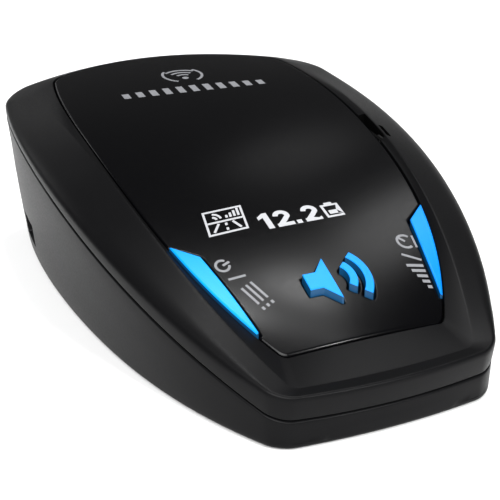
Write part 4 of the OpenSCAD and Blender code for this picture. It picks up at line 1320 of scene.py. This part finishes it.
# %% Ride, replace and slot
ROLES = [
    (case_lower, ["lower_shell"], "case", "case_lower"),
    (case_upper, ["upper_shell"], "case", "case_upper"),
    (groove_seal, ["case_seal"], "case", "seal_rubber"),
    (window, ["display_window"], "case", "window_gloss"),
    (ir_window, ["front_window"], "case", "ir_window"),
    (pad_sheet, ["grip_pad"], "case", "pad_rubber"),
    (grip_studs, [], "case", "pad_rubber"),
    (foil, ["rating_plate"], "case", "plate_foil"),
    (emboss, [], "case", "plate_foil"),
    (screws, ["case_screws"], "case", "zinc_steel"),
    (socket_shell, ["usb_shell"], "case", "tin_plate"),
    (socket_tongue, ["usb_tongue"], "case", "black_plastic"),
    (contacts, [], "case", "brass_screw"),
    (sound_cloth, [], "case", "mesh_cloth"),
    (readout, [], "case", None),
    (window_marks, [], "case", None),
    (edge_keys["power_key"], ["power_key_cap"], "power_key", "key_blue"),
    (edge_keys["volume_key"], ["volume_key_cap"], "volume_key", "key_blue"),
    (symbol_key, ["mute_key_symbol"], "mute_key", "key_blue"),
    (symbol_base, [], "mute_key", "key_blue"),
]
for obj, nodes, body, slot in ROLES:
    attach(obj, body)
    if nodes:
        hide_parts(*nodes)
print("pieces", len(ROLES))

# %% [markdown]
# ## Floor, light and camera
# The object stands on a plain round floor whose rim rises far behind it. A soft sun from the near
# left is the key light, because it keeps the floor evenly white, and a dim even sky and a top
# lamp fill the shade. Black gloss shows what it mirrors and little else, so small lamps stand
# where the window, the bezel's strip and the near edges mirror them.

# %% Floor
def studio_floor(sides=96):
    """A round floor whose far rim sweeps up a little, so that no edge of it shows."""
    turn = np.linspace(0, 2 * np.pi, sides, endpoint=False)
    rims = [(5000, 0), (5600, 40), (6100, 160), (6500, 380), (6700, 700)]
    points = [(r * math.cos(a), r * math.sin(a), z) for r, z in rims for a in turn]
    faces = [tuple(range(sides))]
    for ring in range(len(rims) - 1):
        low, high = ring * sides, (ring + 1) * sides
        faces += [(low + i, high + i, high + (i + 1) % sides, low + (i + 1) % sides)
                  for i in range(sides)]
    made = surface("pale_floor", "#f2f2f2", "#f6f6f6", (0.6, 0.7), 4.0, 0.01, cloud=60.0)
    return piece("floor", points, faces, [made])


studio_floor()

# %% Camera
CAMERA_AT = Vector((-0.06781, -0.15903, 0.0856))
RIGHT, DOWN = Vector((0.9175, -0.3977, 0.0)), Vector((-0.1705, -0.3934, -0.9034))
eye = bpy.data.cameras.new("camera")
eye.lens, eye.sensor_width = 68.55, 36.0
eye.shift_x, eye.shift_y = -0.0088, 0.0312
eye.clip_start, eye.clip_end = 0.01, 50.0
camera = in_scene("camera", eye)
up_axis = -DOWN.normalized()
back_axis = RIGHT.normalized().cross(up_axis)
turn = Matrix([RIGHT.normalized(), up_axis, back_axis]).transposed()
camera.matrix_world = Matrix.Translation(CAMERA_AT) @ turn.to_4x4()
bpy.context.scene.camera = camera
print("camera", round(CAMERA_AT.length, 3), "m from the origin")


# %% Lights
def lamp(name, towards, distance_m, size, power, aim=(0.0, 0.0, 0.02)):
    """A soft round lamp in a direction from a point, facing that point. All are in metres."""
    light = bpy.data.lights.new(name, "AREA")
    light.shape, light.size, light.energy = "DISK", size, power
    obj = in_scene(name, light)
    way = Vector(towards).normalized()
    obj.location = Vector(aim) + way * distance_m
    obj.rotation_euler = way.to_track_quat("Z", "Y").to_euler()


key_light = bpy.data.lights.new("key_light", "SUN")
key_light.energy, key_light.angle = 4.1, math.radians(38)
key_sun = in_scene("key_light", key_light)
key_sun.rotation_euler = Vector((-0.6, -0.85, 1.0)).to_track_quat("Z", "Y").to_euler()
lamp("top", (0.0, 0.0, 1.0), 1.8, 1.4, 6)
lamp("pool", (0.41, 0.63, 0.66), 1.0, 0.16, 0.05, aim=(0.011, -0.004, 0.026))
lamp("near_glow", (0.33, 0.1, 0.94), 1.0, 0.12, 0.14, aim=(-0.006, -0.045, 0.013))
lamp("strip", (0.38, 0.27, 0.89), 1.0, 0.12, 0.9, aim=(-0.021, -0.046, 0.012))
lamp("strip_up", (0.17, 0.17, 0.968), 1.0, 0.12, 2.8, aim=(-0.0235, -0.039, 0.016))
lamp("side_left", (-0.4, 0.75, 0.45), 1.0, 0.3, 0.5, aim=(-0.037, 0.03, 0.029))
lamp("front", (0.3, -0.74, 0.6), 1.0, 0.12, 6.0, aim=(-0.008, -0.0566, 0.0096))
lamp("right", (0.8, 0.3, 0.5), 1.1, 0.6, 0.2)
lamp("near_right", (0.53, 0.37, 0.76), 1.0, 0.2, 0.5, aim=(0.005, -0.05, 0.011))
lamp("left_far", (-0.05, 0.91, 0.41), 1.1, 0.35, 0.25, aim=(-0.031, 0.035, 0.031))
world = bpy.data.worlds.new("studio")
bpy.context.scene.world = world
world.use_nodes = True
world.node_tree.nodes.clear()
sky = add(world.node_tree, "ShaderNodeBackground", {"Color": (1.0, 1.0, 1.0, 1.0), "Strength": 0.1})
add(world.node_tree, "ShaderNodeOutputWorld", {"Surface": sky.outputs[0]})
bpy.context.scene.view_settings.view_transform = "Standard"
print("lamps", len(bpy.data.lights))
